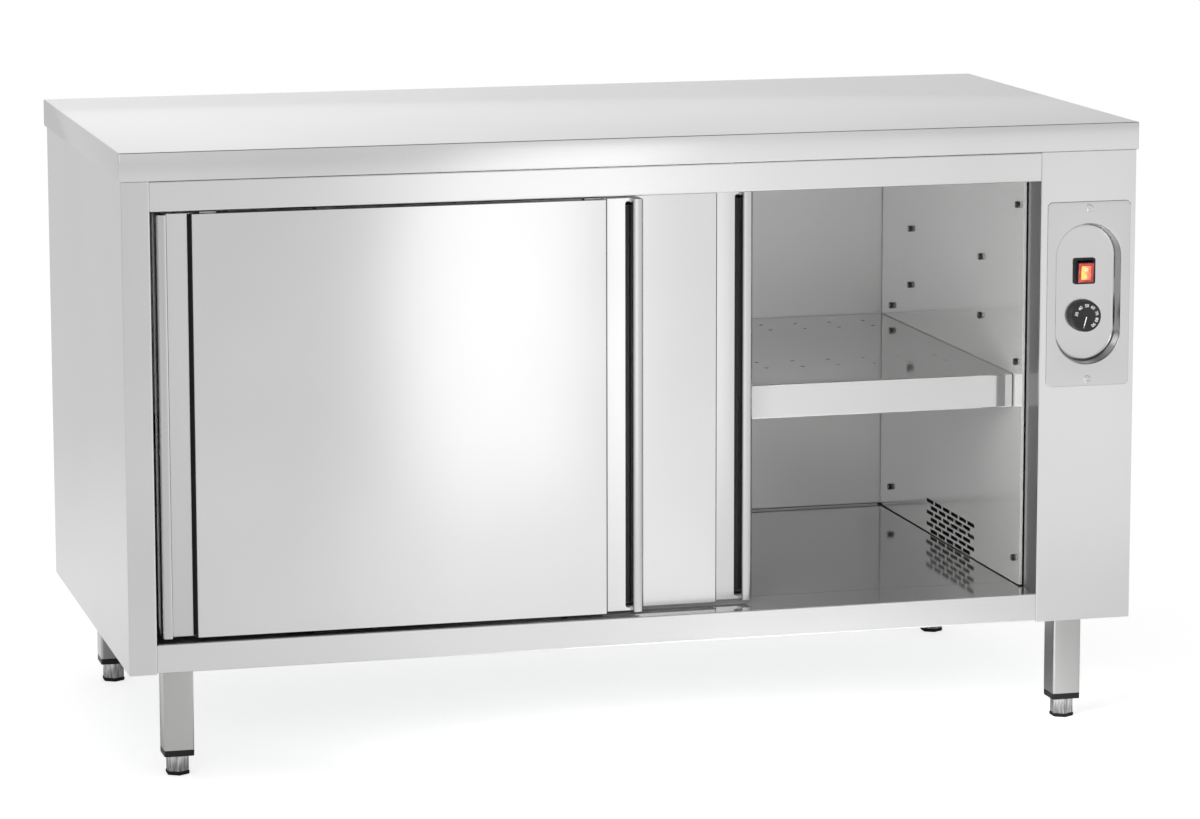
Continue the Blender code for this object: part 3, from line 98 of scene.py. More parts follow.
# %% Shader helpers
class Wire:
    """The output of a node, with arithmetic that adds Math nodes to the same graph."""

    def __init__(self, graph, socket):
        self.graph, self.socket = graph, socket

    def maths(self, operation, *values):
        return self.graph.node("Math", {"operation": operation}, *values)

    def __add__(self, other):
        return self.maths("ADD", self, other)

    def __sub__(self, other):
        return self.maths("SUBTRACT", self, other)

    def __rsub__(self, other):
        return self.maths("SUBTRACT", other, self)

    def __mul__(self, other):
        return self.maths("MULTIPLY", self, other)

    def rise(self, low, high):
        """0 at low, 1 at high, and a smooth rise from one to the other."""
        return self.graph.node("MapRange", {"interpolation_type": "SMOOTHSTEP"},
                               self, low, high, 0.0, 1.0)


class Graph:
    """A node tree under construction. Its places are the coordinates that it is laid out in."""

    family = "ShaderNode"

    def __init__(self, tree, coordinates=None):
        self.tree = tree
        tree.nodes.clear()
        if coordinates:
            self.places = self.node("TexCoord", {"output": coordinates})

    def feed(self, socket, value):
        if isinstance(value, Wire):
            self.tree.links.new(value.socket, socket)
        elif socket.type == "RGBA" and len(value) == 3:
            socket.default_value = (*value, 1.0)
        else:
            socket.default_value = value

    def node(self, kind, settings, *values, **named):
        """Adds a node of the family. Its settings come first, then inputs in order, then by name."""
        made = self.tree.nodes.new(self.family + kind)
        settings = dict(settings)
        output = settings.pop("output", 0)
        stops = settings.pop("stops", None)
        for key, value in settings.items():
            setattr(made, key, value)
        if stops:
            ramp = made.color_ramp.elements
            while len(ramp) < len(stops):
                ramp.new(0.5)
            for element, (place, tone) in zip(ramp, stops):
                element.position, element.color = place, (tone, tone, tone, 1.0)
        for socket, value in zip(made.inputs, values):
            self.feed(socket, value)
        for name, value in named.items():
            self.feed(made.inputs[name.replace("_", " ")], value)
        return Wire(self, made.outputs[output])

    def blend(self, share, first, second):
        """A colour between two, by a share from 0 to 1."""
        made = self.tree.nodes.new(self.family + "Mix")
        made.data_type = "RGBA"
        for index, value in ((0, share), (6, first), (7, second)):
            self.feed(made.inputs[index], value)
        return Wire(self, made.outputs[2])

    def along(self, axis):
        """One coordinate of the place, or of the direction in a room."""
        return self.node("SeparateXYZ", {"output": axis}, self.places)

    def ray(self, kind):
        """1 for rays of one kind, 0 for the others."""
        return self.node("LightPath", {"output": f"Is {kind} Ray"})

    def close(self, kind, shader):
        """Ends the graph in its output node."""
        self.tree.links.new(shader.socket, self.tree.nodes.new(self.family + kind).inputs["Surface"])


class Finish(Graph):
    """The graph of a material, laid out in the object's own coordinates."""

    def __init__(self, name):
        self.material = bpy.data.materials.new(name)
        self.material.use_nodes = True
        super().__init__(self.material.node_tree, "Object")

    def noise(self, size, detail, stretch=(1, 1, 1)):
        """Noise whose blotches are about that many metres across, longer where stretch is above 1."""
        scaled = self.node("VectorMath", {"operation": "MULTIPLY"}, self.places,
                           tuple(1 / (size * amount) for amount in stretch))
        return self.node("TexNoise", {"output": "Fac"}, Vector=scaled, Scale=1.0, Detail=detail)

    def relief(self, height, depth, smooth):
        """A normal from a height that varies by depth metres, over edges eased by a small radius."""
        eased = self.node("Bevel", {"samples": 4}, smooth)
        return self.node("Bump", {}, Height=height, Strength=1.0, Distance=depth, Normal=eased)

    def principled(self, **inputs):
        """Closes the material with a Principled shader, and returns the material."""
        self.close("OutputMaterial", self.node("BsdfPrincipled", {}, **inputs))
        return self.material


# %% [markdown]
# ## Stainless steel
#
# Catering sheet is ground with a fine belt, so it is neither a mirror nor matt: across the grain a
# reflection smears, along it stays crisp. The grain is a noise squeezed hard in two directions,
# fed to a very shallow bump and, a little, to the roughness. Broad soft blotches stand for the
# faint clouds that wiping leaves. The lining is darker sheet with a tighter reflection. Its walls
# are partly diffuse, as sheet is that has been wiped for years.

# %% Steel finishes
def tint(colour, amount):
    return tuple(amount * part for part in colour)


def grey(tone):
    return (tone, tone, tone)


GRAIN_LONG, CLOUD_SHADE, JAMB_PAINTED_SHADE, FLANGE_PAINTED_SHADE = 90.0, 0.94, 0.18, 0.80


def sheet_steel(name, colour, grain, roughness=0.22, depth=0.005 * MM, metallic=1.0, jamb=None,
                panel=None):
    """Ground stainless sheet; grain is the direction that the belt ran. Behind a jamb's front edge, and on
    both sides of a panel, the colour is painted darker: painted shade where the folds see less of the room."""
    steel = Finish(name)
    stretch = [1.0, 1.0, 1.0]
    stretch["XYZ".index(grain)] = GRAIN_LONG
    lines = steel.noise(0.8 * MM, 4.0, stretch)
    clouds = steel.noise(0.35, 2.0)
    tone = steel.blend(clouds.rise(0.3, 0.7), tint(colour, CLOUD_SHADE), colour)
    # Painted shade: behind the jamb's front edge the colour is dark and the sheet is only half metallic.
    if jamb:
        folded = steel.along("Y").rise(jamb, jamb + 2 * MM)
        tone = steel.blend(folded, tone, tint(colour, JAMB_PAINTED_SHADE))
        metallic = 1.0 - folded * 0.5
    # Painted shade: outside the panel's band the colour is darker.
    if panel:
        inside = steel.along("X").rise(panel[0] - MM, panel[0]) - steel.along("X").rise(*panel[1:])
        tone = steel.blend(inside, tint(colour, FLANGE_PAINTED_SHADE), tone)
    rough = (lines - 0.5) * 0.06 + (clouds - 0.5) * 0.04 + roughness
    return steel.principled(Base_Color=tone, Metallic=metallic, Roughness=rough,
                            Normal=steel.relief(lines, depth, 0.5 * MM))


STEEL_TONE = (0.62, 0.625, 0.62)
LINING_TONE = (0.50, 0.505, 0.50)
upright_steel = sheet_steel("upright_steel", STEEL_TONE, "Z")
# The fascia's jamb is painted shade from this depth back.
jamb_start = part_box("control_fascia")[0].y + 2 * MM
fascia_steel = sheet_steel("fascia_steel", STEEL_TONE, "Z", jamb=jamb_start)
plate_steel = sheet_steel("plate_steel", grey(0.53), "Z", 0.17)
lengthwise_steel = sheet_steel("lengthwise_steel", STEEL_TONE, "X")
side_steel = sheet_steel("side_steel", tint(STEEL_TONE, 0.95), "Y")
# The legs' steel is a darker copy of the cabinet's: painted shade, for the shaded floor that they reflect.
leg_steel = sheet_steel("leg_steel", (0.43, 0.43, 0.425), "Z")
mirror_lining = sheet_steel("mirror_lining", LINING_TONE, "X", 0.07, 0.002 * MM, 0.9)
brushed_back = sheet_steel("brushed_back", tint(LINING_TONE, 1.1), "X", 0.38, metallic=0.8)
mirror_wall = sheet_steel("mirror_wall", (0.86, 0.86, 0.85), "Y", 0.14, 0.002 * MM, 0.75)
print("the fascia's jamb starts", round(-jamb_start, 4), "m in front of the middle")

# %% [markdown]
# ## Plastics, castings and what is inside
#
# Small mouldings are black with a fine spark-eroded texture. The feet are dull cast metal with a
# mottled skin. Insulation, board, heater sheath, zinc plate and the black duct are hidden in use,
# and are finished all the same because a door slides away or a viewer looks from below. The duct
# and its fan are coloured black as painted shade, so that the grille's slots read dark.

# %% Other finishes
def moulded(name, colour, roughness):
    """Moulded plastic with a fine even texture."""
    plastic = Finish(name)
    grain = plastic.noise(0.25 * MM, 2.0)
    blush = plastic.noise(9 * MM, 2.0)
    tone = plastic.blend(blush, tint(colour, 0.8), tint(colour, 1.2))
    return plastic.principled(Base_Color=tone, Roughness=(grain - 0.5) * 0.15 + roughness,
                              Specular_IOR_Level=0.25,
                              Normal=plastic.relief(grain, 0.006 * MM, 0.3 * MM))


def mottled(name, dark, light, roughness, metallic, size=4 * MM, depth=0.02 * MM, stretch=(1, 1, 1)):
    """Cast, plated or pressed stock whose tone wanders between two colours."""
    stock = Finish(name)
    patches = stock.noise(size, 5.0, stretch)
    tone = stock.blend(patches.rise(0.35, 0.65), dark, light)
    rough = (patches - 0.5) * 0.2 + roughness
    return stock.principled(Base_Color=tone, Metallic=metallic, Roughness=rough,
                            Normal=stock.relief(patches, depth, 0.3 * MM))


black_plastic = moulded("black_plastic", (0.012, 0.012, 0.013), 0.42)
dial_plastic = moulded("dial_plastic", (0.017, 0.017, 0.018), 0.42)
trough_plastic = moulded("trough_plastic", grey(0.008), 0.60)
sole_rubber = moulded("sole_rubber", grey(0.012), 0.70)
nylon = moulded("nylon", (0.62, 0.61, 0.57), 0.45)
guide_plastic = moulded("guide_plastic", grey(0.045), 0.50)
# Painted shade: black for the duct and fan behind the grille, so that its slots read dark.
duct_paint = moulded("duct_paint", grey(0.008), 0.70)
print_white = moulded("print_white", grey(0.90), 0.55)
cast_foot = mottled("cast_foot", grey(0.28), grey(0.62), 0.30, 1.0, 2.5 * MM, stretch=(1, 1, 7))
zinc_plate = mottled("zinc_plate", (0.34, 0.35, 0.36), (0.52, 0.53, 0.54), 0.40, 1.0, 12 * MM)
screw_metal = mottled("screw_metal", (0.40, 0.40, 0.39), (0.75, 0.75, 0.74), 0.2, 1.0, 1.5 * MM, 0.004 * MM)
heater_sheath = mottled("heater_sheath", (0.10, 0.085, 0.075), (0.24, 0.20, 0.17), 0.45, 1.0, 6 * MM)
core_board = mottled("core_board", (0.28, 0.19, 0.11), (0.50, 0.37, 0.24), 0.85, 0.0, 3 * MM, 0.1 * MM)
mineral_wool = mottled("mineral_wool", (0.33, 0.28, 0.15), (0.60, 0.53, 0.33), 0.95, 0.0, 5 * MM, 0.8 * MM)

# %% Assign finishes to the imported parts
PLACES = ["front_left", "front_right", "rear_left", "rear_right"]
SIDES = ["left", "right"]


def both(name):
    return [f"{side}_{name}" for side in SIDES]


FINISHES = {
    fascia_steel: ["control_fascia"],
    side_steel: both("side_panel"),
    lengthwise_steel: ["upper_rail", "lower_rail", "back_panel", "door_track"],
    mirror_lining: ["inner_floor", "inner_ceiling", "shelf"] + both("door_liner"),
    brushed_back: ["inner_back_wall"],
    mirror_wall: ["inner_left_wall", "inner_right_wall"],
    zinc_plate: ["base_pan", "thermostat", "fan_motor"] + both("hanger_1") + both("hanger_2"),
    # The fan's housing and impeller get the black of painted shade.
    duct_paint: ["fan_housing", "fan_impeller"],
    black_plastic: ["cable_gland"] + [f"{place}_leg_plug" for place in PLACES],
    trough_plastic: both("finger_trough"),
    guide_plastic: ["door_guide"],
    nylon: ["terminal_block"] + both("wheel_1") + both("wheel_2"),
    heater_sheath: ["heating_element", "thermostat_bulb"],
    core_board: ["worktop_core"],
    mineral_wool: ["left_insulation", "back_insulation", "floor_insulation"] + both("door_core"),
}
for finish, names in FINISHES.items():
    for name in names:
        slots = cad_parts[name].data.materials
        slots.clear()
        slots.append(finish)
print(sum(len(names) for names in FINISHES.values()), "packed parts keep their shape and get a finish")

# %% [markdown]
# ## Making a piece
#
# Sheet pieces start as a flat outline with rounded corners, drawn out into a solid. Where the real
# piece is folded from sheet, the solid is opened on its hidden side and given a wall with Solidify.
# A Bevel modifier rounds the folds. When the shape is right, the modifiers are applied: what stays
# in the scene is a plain mesh that sits at the origin and rides on one body of the frame.

# %% Modelling helpers
AXES = {"X": (0, 1, 2), "Y": (1, 0, 2), "Z": (2, 0, 1)}
QUARTER = [math.pi / 2 * step / 6 for step in range(7)]
SHARP_ANGLE = 32


def around(count, first=0.0):
    """Even turns of a full circle."""
    return [2 * math.pi * index / count + first for index in range(count)]


def spot(axis, along, across):
    """The point at a place along an axis and at two coordinates across it."""
    point = Vector((0, 0, 0))
    for index, value in zip(AXES[axis], (along, *across)):
        point[index] = value
    return point


def rounded(points, radius, steps=4):
    """An outline with its corners replaced by arcs, of one radius or of a radius for each corner."""
    points = [Vector(point) for point in points]
    radii = radius if isinstance(radius, list) else [radius] * len(points)
    outline = []
    for index, (corner, radius) in enumerate(zip(points, radii)):
        if not radius:
            outline.append(corner)
            continue
        before = (points[index - 1] - corner).normalized()
        after = (points[(index + 1) % len(points)] - corner).normalized()
        half = before.angle(after) / 2
        sweep = math.pi - 2 * half
        centre = corner + (before + after).normalized() * (radius / math.sin(half))
        start = corner + before * (radius / math.tan(half)) - centre
        stop = corner + after * (radius / math.tan(half)) - centre
        for step in range(steps + 1):
            share = step / steps
            arm = start * math.sin((1 - share) * sweep) + stop * math.sin(share * sweep)
            outline.append(centre + arm / math.sin(sweep))
    return outline


def rectangle(low_x, low_y, high_x, high_y):
    return [(low_x, low_y), (high_x, low_y), (high_x, high_y), (low_x, high_y)]


def skin(rings, caps=(True, True)):
    """A surface through rings of equal point counts, with flat caps on its ends."""
    shape = bmesh.new()
    rows = [[shape.verts.new(point) for point in ring] for ring in rings]
    for row, following in zip(rows, rows[1:]):
        for index in range(len(row)):
            ahead = (index + 1) % len(row)
            shape.faces.new((row[index], row[ahead], following[ahead], following[index]))
    for wanted, row in zip(caps, (rows[0], rows[-1])):
        if wanted:
            shape.faces.new(row)
    bmesh.ops.recalc_face_normals(shape, faces=shape.faces)
    return shape


def prism(outline, axis, start, stop, caps=(True, True)):
    return skin([[spot(axis, along, point) for point in outline] for along in (start, stop)], caps)


def turned(profile, axis, centre, sides=48, first=0.0):
    """A turned shape: a line of radii and places along the axis, spun round it."""
    return skin([[spot(axis, along, (centre[0] + radius * math.cos(turn),
                                     centre[1] + radius * math.sin(turn)))
                  for turn in around(sides, first)] for radius, along in profile])


def as_mesh(name, shape):
    """The mesh of a shape, which is used up."""
    mesh = bpy.data.meshes.new(name)
    shape.to_mesh(mesh)
    shape.free()
    return mesh


def as_shape(*meshes):
    """One shape from meshes, which are used up."""
    shape = bmesh.new()
    for mesh in meshes:
        shape.from_mesh(mesh)
        bpy.data.meshes.remove(mesh)
    return shape


def joined(shapes):
    """Several shapes as one."""
    return as_shape(*[as_mesh("carrier", shape) for shape in shapes])


def applied(made, cuts=()):
    """An object's mesh with its modifiers applied, and then with shapes cut out of it."""
    tools = [placed("cutter", as_mesh("cutter", shape)) for shape in cuts]
    for tool in tools:
        boolean = made.modifiers.new("cut", "BOOLEAN")
        boolean.operation, boolean.solver, boolean.object = "DIFFERENCE", "EXACT", tool
    bpy.context.view_layer.update()
    mesh = bpy.data.meshes.new_from_object(made.evaluated_get(bpy.context.evaluated_depsgraph_get()))
    for tool in tools:
        bpy.data.objects.remove(tool, do_unlink=True)
    return mesh


def piece(name, shape, finish, body, stands_for=(), bevel=0.0, steps=3, wall=0.0, cuts=(), angle=40):
    """Rounds, walls and cuts a shape, applies all of it, and hangs the result on its body."""
    made = placed(name, as_mesh(name, shape))
    if bevel:
        rounding = made.modifiers.new("rounding", "BEVEL")
        rounding.width, rounding.segments = bevel, steps
        rounding.limit_method, rounding.angle_limit = "ANGLE", math.radians(angle)
    if wall:
        gauge = made.modifiers.new("gauge", "SOLIDIFY")
        gauge.thickness, gauge.offset, gauge.use_even_offset = wall, -1, wall > 0.5 * MM
    mesh = applied(made, cuts)
    made.modifiers.clear()
    made.data = mesh
    mesh.materials.clear()
    mesh.materials.append(finish)
    for polygon in mesh.polygons:
        polygon.material_index = 0
    mesh.shade_smooth()
    mesh.set_sharp_from_angle(angle=math.radians(SHARP_ANGLE))
    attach(made, body)
    if stands_for:
        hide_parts(*stands_for)
    return made


# %% [markdown]
# ## Worktop
#
# One sheet with its four edges folded down and hemmed in underneath. The folds are tight, about
# two millimetres outside, and it is their highlights that draw the top against a white room. A box
# is opened from below, its rim is drawn inwards for the hem, and the folds are bevelled before the
# wall goes on, so the inside of each bend is rounded too.

# %% Worktop
GAUGE, HEM = 1.0 * MM, 15 * MM
low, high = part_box("worktop")
outline = rectangle(low.x, low.y, high.x, high.y)
top = prism(outline, "Z", low.z, high.z, caps=(False, True))
hem = bmesh.ops.extrude_edge_only(top, edges=[edge for edge in top.edges if edge.is_boundary])
for item in hem["geom"]:
    if isinstance(item, bmesh.types.BMVert):
        item.co.x -= math.copysign(HEM, item.co.x)
        item.co.y -= math.copysign(HEM, item.co.y)
bmesh.ops.recalc_face_normals(top, faces=top.faces)
if max(top.faces, key=lambda face: face.calc_center_median().z).normal.z < 0:
    bmesh.ops.reverse_faces(top, faces=top.faces)
piece("worktop_sheet", top, lengthwise_steel, "cabinet", ["worktop"], bevel=1.8 * MM, steps=4,
      wall=GAUGE)
print("worktop", [round(value, 3) for value in (high - low)])

# %% [markdown]
# ## Doors
#
# Each door is one folded skin. Seen from above, its plan runs from a rolled lip, back into a sunk
# flange, forward again to the proud middle panel, and the same way out on the other side. The
# plan is drawn with fine rolls, opened at the back, given its wall, and the finger slot beside
# the leading lip is cut through the flange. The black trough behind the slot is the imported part.

# %% Door skins
LIP, LIP_ROLL, SUNK = 15.2 * MM, 8 * MM, 13 * MM
LEFT_MARGIN, RIGHT_MARGIN = 48 * MM, 52.5 * MM
SEAM_WIDE, SEAM_DEEP = 4 * MM, 2.6 * MM
LIP_END, FOLD, PANEL_FOLD = 2.6 * MM, 0.5 * MM, 1.1 * MM
SLOT_WIDE, SLOT_FROM_END, TROUGH_FROM_END = 8 * MM, 4 * MM, 10.5 * MM
CHANNEL, CHANNEL_DEEP = 10 * MM, 9 * MM
LIP_CORNER, PAST = 3.3 * MM, 5 * MM


def door_plan(x, stop, y, back):
    """The skin's plan: each corner, and the radius that it is folded to."""
    sunk, seam = y + SUNK, y + SUNK + SEAM_DEEP
    near, far = x + LEFT_MARGIN, stop - RIGHT_MARGIN
    corners = [(x, back, 0), (x, y, LIP_ROLL), (x + LIP, y, LIP_END), (x + LIP, sunk, FOLD),
               (near - SEAM_WIDE, sunk, FOLD), (near - SEAM_WIDE, seam, FOLD), (near, seam, FOLD),
               (near, y, PANEL_FOLD), (far, y, PANEL_FOLD), (far, seam, FOLD),
               (far + SEAM_WIDE, seam, FOLD), (far + SEAM_WIDE, sunk, FOLD), (stop - LIP, sunk, FOLD),
               (stop - LIP, y, LIP_END), (stop, y, LIP_ROLL), (stop, back, 0)]
    return rounded([corner[:2] for corner in corners], [corner[2] for corner in corners], 7)


def corner_cut(x, z, to_right, upward, y, back):
    """What is ground off a square corner to leave it round: seen from the front, a curved triangle."""
    outside, over = x + to_right * 2 * MM, z + upward * 2 * MM
    outline = [(outside, over), (outside, z - upward * LIP_CORNER)]
    outline += [(x - to_right * LIP_CORNER * (1 - math.cos(turn)),
                 z - upward * LIP_CORNER * (1 - math.sin(turn))) for turn in QUARTER]
    outline.append((x - to_right * LIP_CORNER, over))
    return prism(outline, "Y", y - PAST, back + PAST)


for side in SIDES:
    low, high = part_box(f"{side}_door_skin")
    shape = prism(door_plan(low.x, high.x, low.y, high.y), "Z", low.z, high.z)
    shape.normal_update()
    hidden = [face for face in shape.faces if face.normal.y > 0.99
              and face.calc_center_median().y > high.y - 1e-5]
    bmesh.ops.delete(shape, geom=hidden, context="FACES_ONLY")
    slot_right = high.x - LIP
    # Painted shade: the sheet is coloured darker left of the left seam and right of bright_end, on the lips
    # and sunk flanges.
    bright_end = slot_right if side == "left" else high.x - RIGHT_MARGIN + SEAM_WIDE
    door_steel = sheet_steel(f"{side}_door_steel", STEEL_TONE, "Z", 0.20,
                             panel=(low.x + LEFT_MARGIN - SEAM_WIDE, bright_end, bright_end + MM))
    slot = rounded(rectangle(slot_right - SLOT_WIDE, low.z + SLOT_FROM_END, slot_right,
                             high.z - SLOT_FROM_END), 0.45 * SLOT_WIDE, 6)
    cuts = [prism(slot, "Y", low.y + SUNK - GAUGE, low.y + SUNK + 2 * GAUGE),
            prism(rectangle(low.x - PAST, high.y - CHANNEL_DEEP, high.x + PAST, high.y + PAST), "Z",
                  low.z - PAST, low.z + CHANNEL)]
    cuts += [corner_cut(x, z, to_right, upward, low.y, high.y)
             for x, to_right in ((low.x, -1), (high.x, 1)) for z, upward in ((low.z, -1), (high.z, 1))]
    piece(f"{side}_door_sheet", shape, door_steel, f"{side}_door", [f"{side}_door_skin"],
          wall=GAUGE, cuts=cuts)
    near, far, sunk = low.x + LEFT_MARGIN, high.x - RIGHT_MARGIN, low.y + SUNK
    # Black strips in both seams and on the panel's left side wall: painted shade, where the folds fall
    # dark.
    shade_front, shade_back = sunk - 0.5 * MM, sunk + SEAM_DEEP - 0.1 * MM
    shade_strips = [rectangle(near - SEAM_WIDE + 0.2 * MM, shade_front, near - 0.1 * MM, shade_back),
             rectangle(near - 0.8 * MM, low.y + 4 * MM, near - 0.05 * MM, sunk - 0.6 * MM),
             rectangle(far + 0.1 * MM, shade_front, far + SEAM_WIDE - 0.2 * MM, shade_back)]
    piece(f"{side}_door_seals", joined([prism(shade_strip, "Z", low.z + MM, high.z - MM) for shade_strip in shade_strips]),
          sole_rubber, f"{side}_door")
    ramps = []
    for end, upward in ((low.z, 1), (high.z, -1)):
        start, stop = end + upward * SLOT_FROM_END, end + upward * (TROUGH_FROM_END + MM)
        line = [(sunk + 0.6 * MM, start), (sunk + 7 * MM, stop), (sunk + 8 * MM, stop),
                (sunk + 1.6 * MM, start)]
        ramps.append(prism(line, "X", slot_right - SLOT_WIDE - MM, slot_right))
    piece(f"{side}_door_ramps", joined(ramps), upright_steel, f"{side}_door")
print("doors are", round((high.x - low.x) * 1000), "mm wide")

# %% [markdown]
# ## Legs and feet
#
# The legs are square welded tube with small outside corners. Each ends in a black plug, and a
# hexagonal foot screws into it: a mottled casting on a black hexagonal sole. The tube is an
# outline drawn out and walled. The hexagon is built in rings, so that the small chamfers
# which catch the light come for free.

# %% Legs
for place in PLACES:
    low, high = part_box(f"{place}_leg")
    outline = rounded(rectangle(low.x, low.y, high.x, high.y), 3 * MM, 5)
    tube = prism(outline, "Z", low.z, high.z, caps=(False, False))
    middle = (low + high) / 2
    if tube.faces[:][0].normal.dot(tube.faces[:][0].calc_center_median() - middle) < 0:
        bmesh.ops.reverse_faces(tube, faces=tube.faces)
    piece(f"{place}_tube", tube, leg_steel, "cabinet", [f"{place}_leg"], wall=1.5 * MM)

# %% Feet
SOLE_HIGH, SOLE_CHAMFER, NUT_INSET, NUT_TOP = 5 * MM, 1.2 * MM, 0.9 * MM, 27 * MM
NUT_SHOULDER, NUT_SLOPE, STEM_RADIUS, STEM_TIP = 1.2 * MM, 0.8 * MM, 5.3 * MM, 4.6 * MM


def hexagonal(profile, centre):
    return turned(profile, "Z", centre, 6, math.radians(30))


foot_ends = {}
for place in PLACES:
    low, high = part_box(f"{place}_foot")
    centre = (low + high) / 2
    radius = (high.y - low.y) / 2
    nut_top = low.z + NUT_TOP
    body = f"{place}_foot_body"
    sole = hexagonal([(radius - SOLE_CHAMFER, low.z), (radius, low.z + SOLE_CHAMFER),
                      (radius, low.z + SOLE_HIGH)], centre)
    piece(f"{place}_sole", sole, sole_rubber, body, bevel=0.4 * MM, steps=2)
    inset = radius - NUT_INSET
    nut = hexagonal([(inset, low.z + SOLE_HIGH), (inset, nut_top - NUT_SLOPE),
                     (inset - NUT_SHOULDER, nut_top)], centre)
    stem = turned([(STEM_RADIUS, nut_top - MM), (STEM_RADIUS, high.z - MM), (STEM_TIP, high.z)], "Z",
                  centre, 24)
    piece(f"{place}_nut", joined([nut, stem]), cast_foot, body, [f"{place}_foot"],
          bevel=0.5 * MM, steps=2)
    foot_ends[place] = (centre, nut_top, high.z)
print("four feet with soles of", round(2 * radius * 1000, 1), "mm across the corners")

# %% [markdown]
# ## Control plate
#
# A pressed plate: its rim is drawn back like the edge of a cushion, and the middle is sunk in a
# long round-ended recess with soft radii at rim and floor. Both outlines are taken with the same
# number of points, so the whole pressing is one skin of rings, and a thin wall closes it behind.

# %% Control plate
low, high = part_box("control_plate")
PLATE_X, PLATE_Y, PLATE_Z = (low.x + high.x) / 2, low.y, (low.z + high.z) / 2
PLATE_GAUGE, PLATE_CORNER = 1.0 * MM, 6 * MM
RECESS_HALF, RECESS_LONG, RECESS_DEEP = 46.5 * MM, 193 * MM, 18 * MM
RIM, FILLET, DRAFT = 2 * MM, 4 * MM, 2.5 * MM
FLOOR_Y = PLATE_Y + RECESS_DEEP
AROUND = 96


def stadium(radius, y):
    """The recess outline: two half circles joined by straights."""
    straight = RECESS_LONG / 2 - RECESS_HALF
    ring = []
    for index in range(AROUND):
        turn = 2 * math.pi * (index + 0.5) / AROUND
        ring.append(Vector((PLATE_X + radius * math.cos(turn), y,
                            PLATE_Z + math.copysign(straight, math.sin(turn)) + radius * math.sin(turn))))
    return ring


def plate_edge(inset, y):
    """The plate's outline, taken along rays so that it has as many points as the recess."""
    half_x, half_z = (high.x - low.x) / 2 - inset, (high.z - low.z) / 2 - inset
    corner = PLATE_CORNER - inset
    ring = []
    for point in stadium(RECESS_HALF, y):
        turn = math.atan2(point.z - PLATE_Z, point.x - PLATE_X)
        ray = Vector((math.cos(turn), math.sin(turn)))
        reach = min(half_x / max(abs(ray.x), 1e-9), half_z / max(abs(ray.y), 1e-9))
        x, z = ray.x * reach, ray.y * reach
        over_x, over_z = abs(x) - (half_x - corner), abs(z) - (half_z - corner)
        if over_x > 0 and over_z > 0:
            shrink = corner / math.hypot(over_x, over_z)
            x = math.copysign(half_x - corner + over_x * shrink, x)
            z = math.copysign(half_z - corner + over_z * shrink, z)
        ring.append(Vector((PLATE_X + x, y, PLATE_Z + z)))
    return ring


EDGE_ROUND = 1.2 * MM
rings = [plate_edge(0, PLATE_Y + PLATE_GAUGE + 0.25 * MM)]
rings += [plate_edge(EDGE_ROUND * (1 - math.cos(turn)), PLATE_Y + EDGE_ROUND * (1 - math.sin(turn)))
          for turn in QUARTER]
rings += [plate_edge(PLATE_CORNER, PLATE_Y)]
rings += [stadium(RECESS_HALF + RIM - RIM * math.sin(turn), PLATE_Y + RIM - RIM * math.cos(turn))
          for turn in QUARTER]
bottom = RECESS_HALF - DRAFT - FILLET
rings += [stadium(bottom + FILLET * math.cos(turn), FLOOR_Y - FILLET + FILLET * math.sin(turn))
          for turn in QUARTER]
pressing = skin(rings, caps=(False, True))
facing = max(pressing.faces, key=lambda face: len(face.verts))
if facing.normal.y > 0:
    bmesh.ops.reverse_faces(pressing, faces=pressing.faces)
switch_low, switch_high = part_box("switch_body")
switch_centre = (switch_low + switch_high) / 2
knob_low, knob_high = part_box("thermostat_knob")
knob_centre = (knob_low + knob_high) / 2
KNOB = (knob_centre.x, knob_centre.z)
SHAFT_RADIUS, SWITCH_HOLE = 4 * MM, (13.4 * MM, 16.55 * MM)
SWITCH_HOUSING, SWITCH_WELL = (13.1 * MM, 16.25 * MM), (11.85 * MM, 14.95 * MM)


def about_switch(half_x, half_z):
    """A rectangle round the middle of the switch."""
    return rectangle(switch_centre.x - half_x, switch_centre.z - half_z,
                     switch_centre.x + half_x, switch_centre.z + half_z)


switch_hole = prism(about_switch(*SWITCH_HOLE), "Y", FLOOR_Y - PAST, FLOOR_Y + PAST)
shaft_hole = turned([(SHAFT_RADIUS, FLOOR_Y - PAST), (SHAFT_RADIUS, FLOOR_Y + PAST)], "Y", KNOB, 24)
plate = piece("pressed_plate", pressing, plate_steel, "cabinet", ["control_plate"],
              wall=0.9 * PLATE_GAUGE, cuts=[switch_hole, shaft_hole])
print("control plate has", len(plate.data.polygons), "faces")

# %% [markdown]
# ## Rocker switch
#
# The bezel is a shallow frame round a well, and the rocker is a translucent red moulding with a lit
# window let into it. Light from behind makes the window orange and the rim of the rocker deep
# red, so both carry a little emission. A ring and a stroke are printed for off and on.

# %% Switch finishes
def lit_lens(name, deep, glow, strength, spread=0.0):
    """Translucent plastic lit from behind; spread makes it glow at its left and deepen to its right."""
    plastic = Finish(name)
    flow = plastic.noise(6 * MM, 2.0)
    share = flow.rise(0.3, 0.7)
    if spread:
        share = (flow - 0.5) * 1.2 + 1.0 - plastic.along("X").rise(switch_centre.x - spread,
                                                                  switch_centre.x + spread)
    tone = plastic.blend(share, deep, glow)
    return plastic.principled(Base_Color=tone, Roughness=0.22, Emission_Color=tone,
                              Emission_Strength=strength, Coat_Weight=0.4,
                              Normal=plastic.relief(flow, 0.05 * MM, 0.3 * MM))


red_lens = lit_lens("red_lens", (0.26, 0.018, 0.018), (0.40, 0.040, 0.035), 0.18)
lit_window = lit_lens("lit_window", (0.80, 0.09, 0.05), (0.90, 0.42, 0.07), 0.55, 6 * MM)

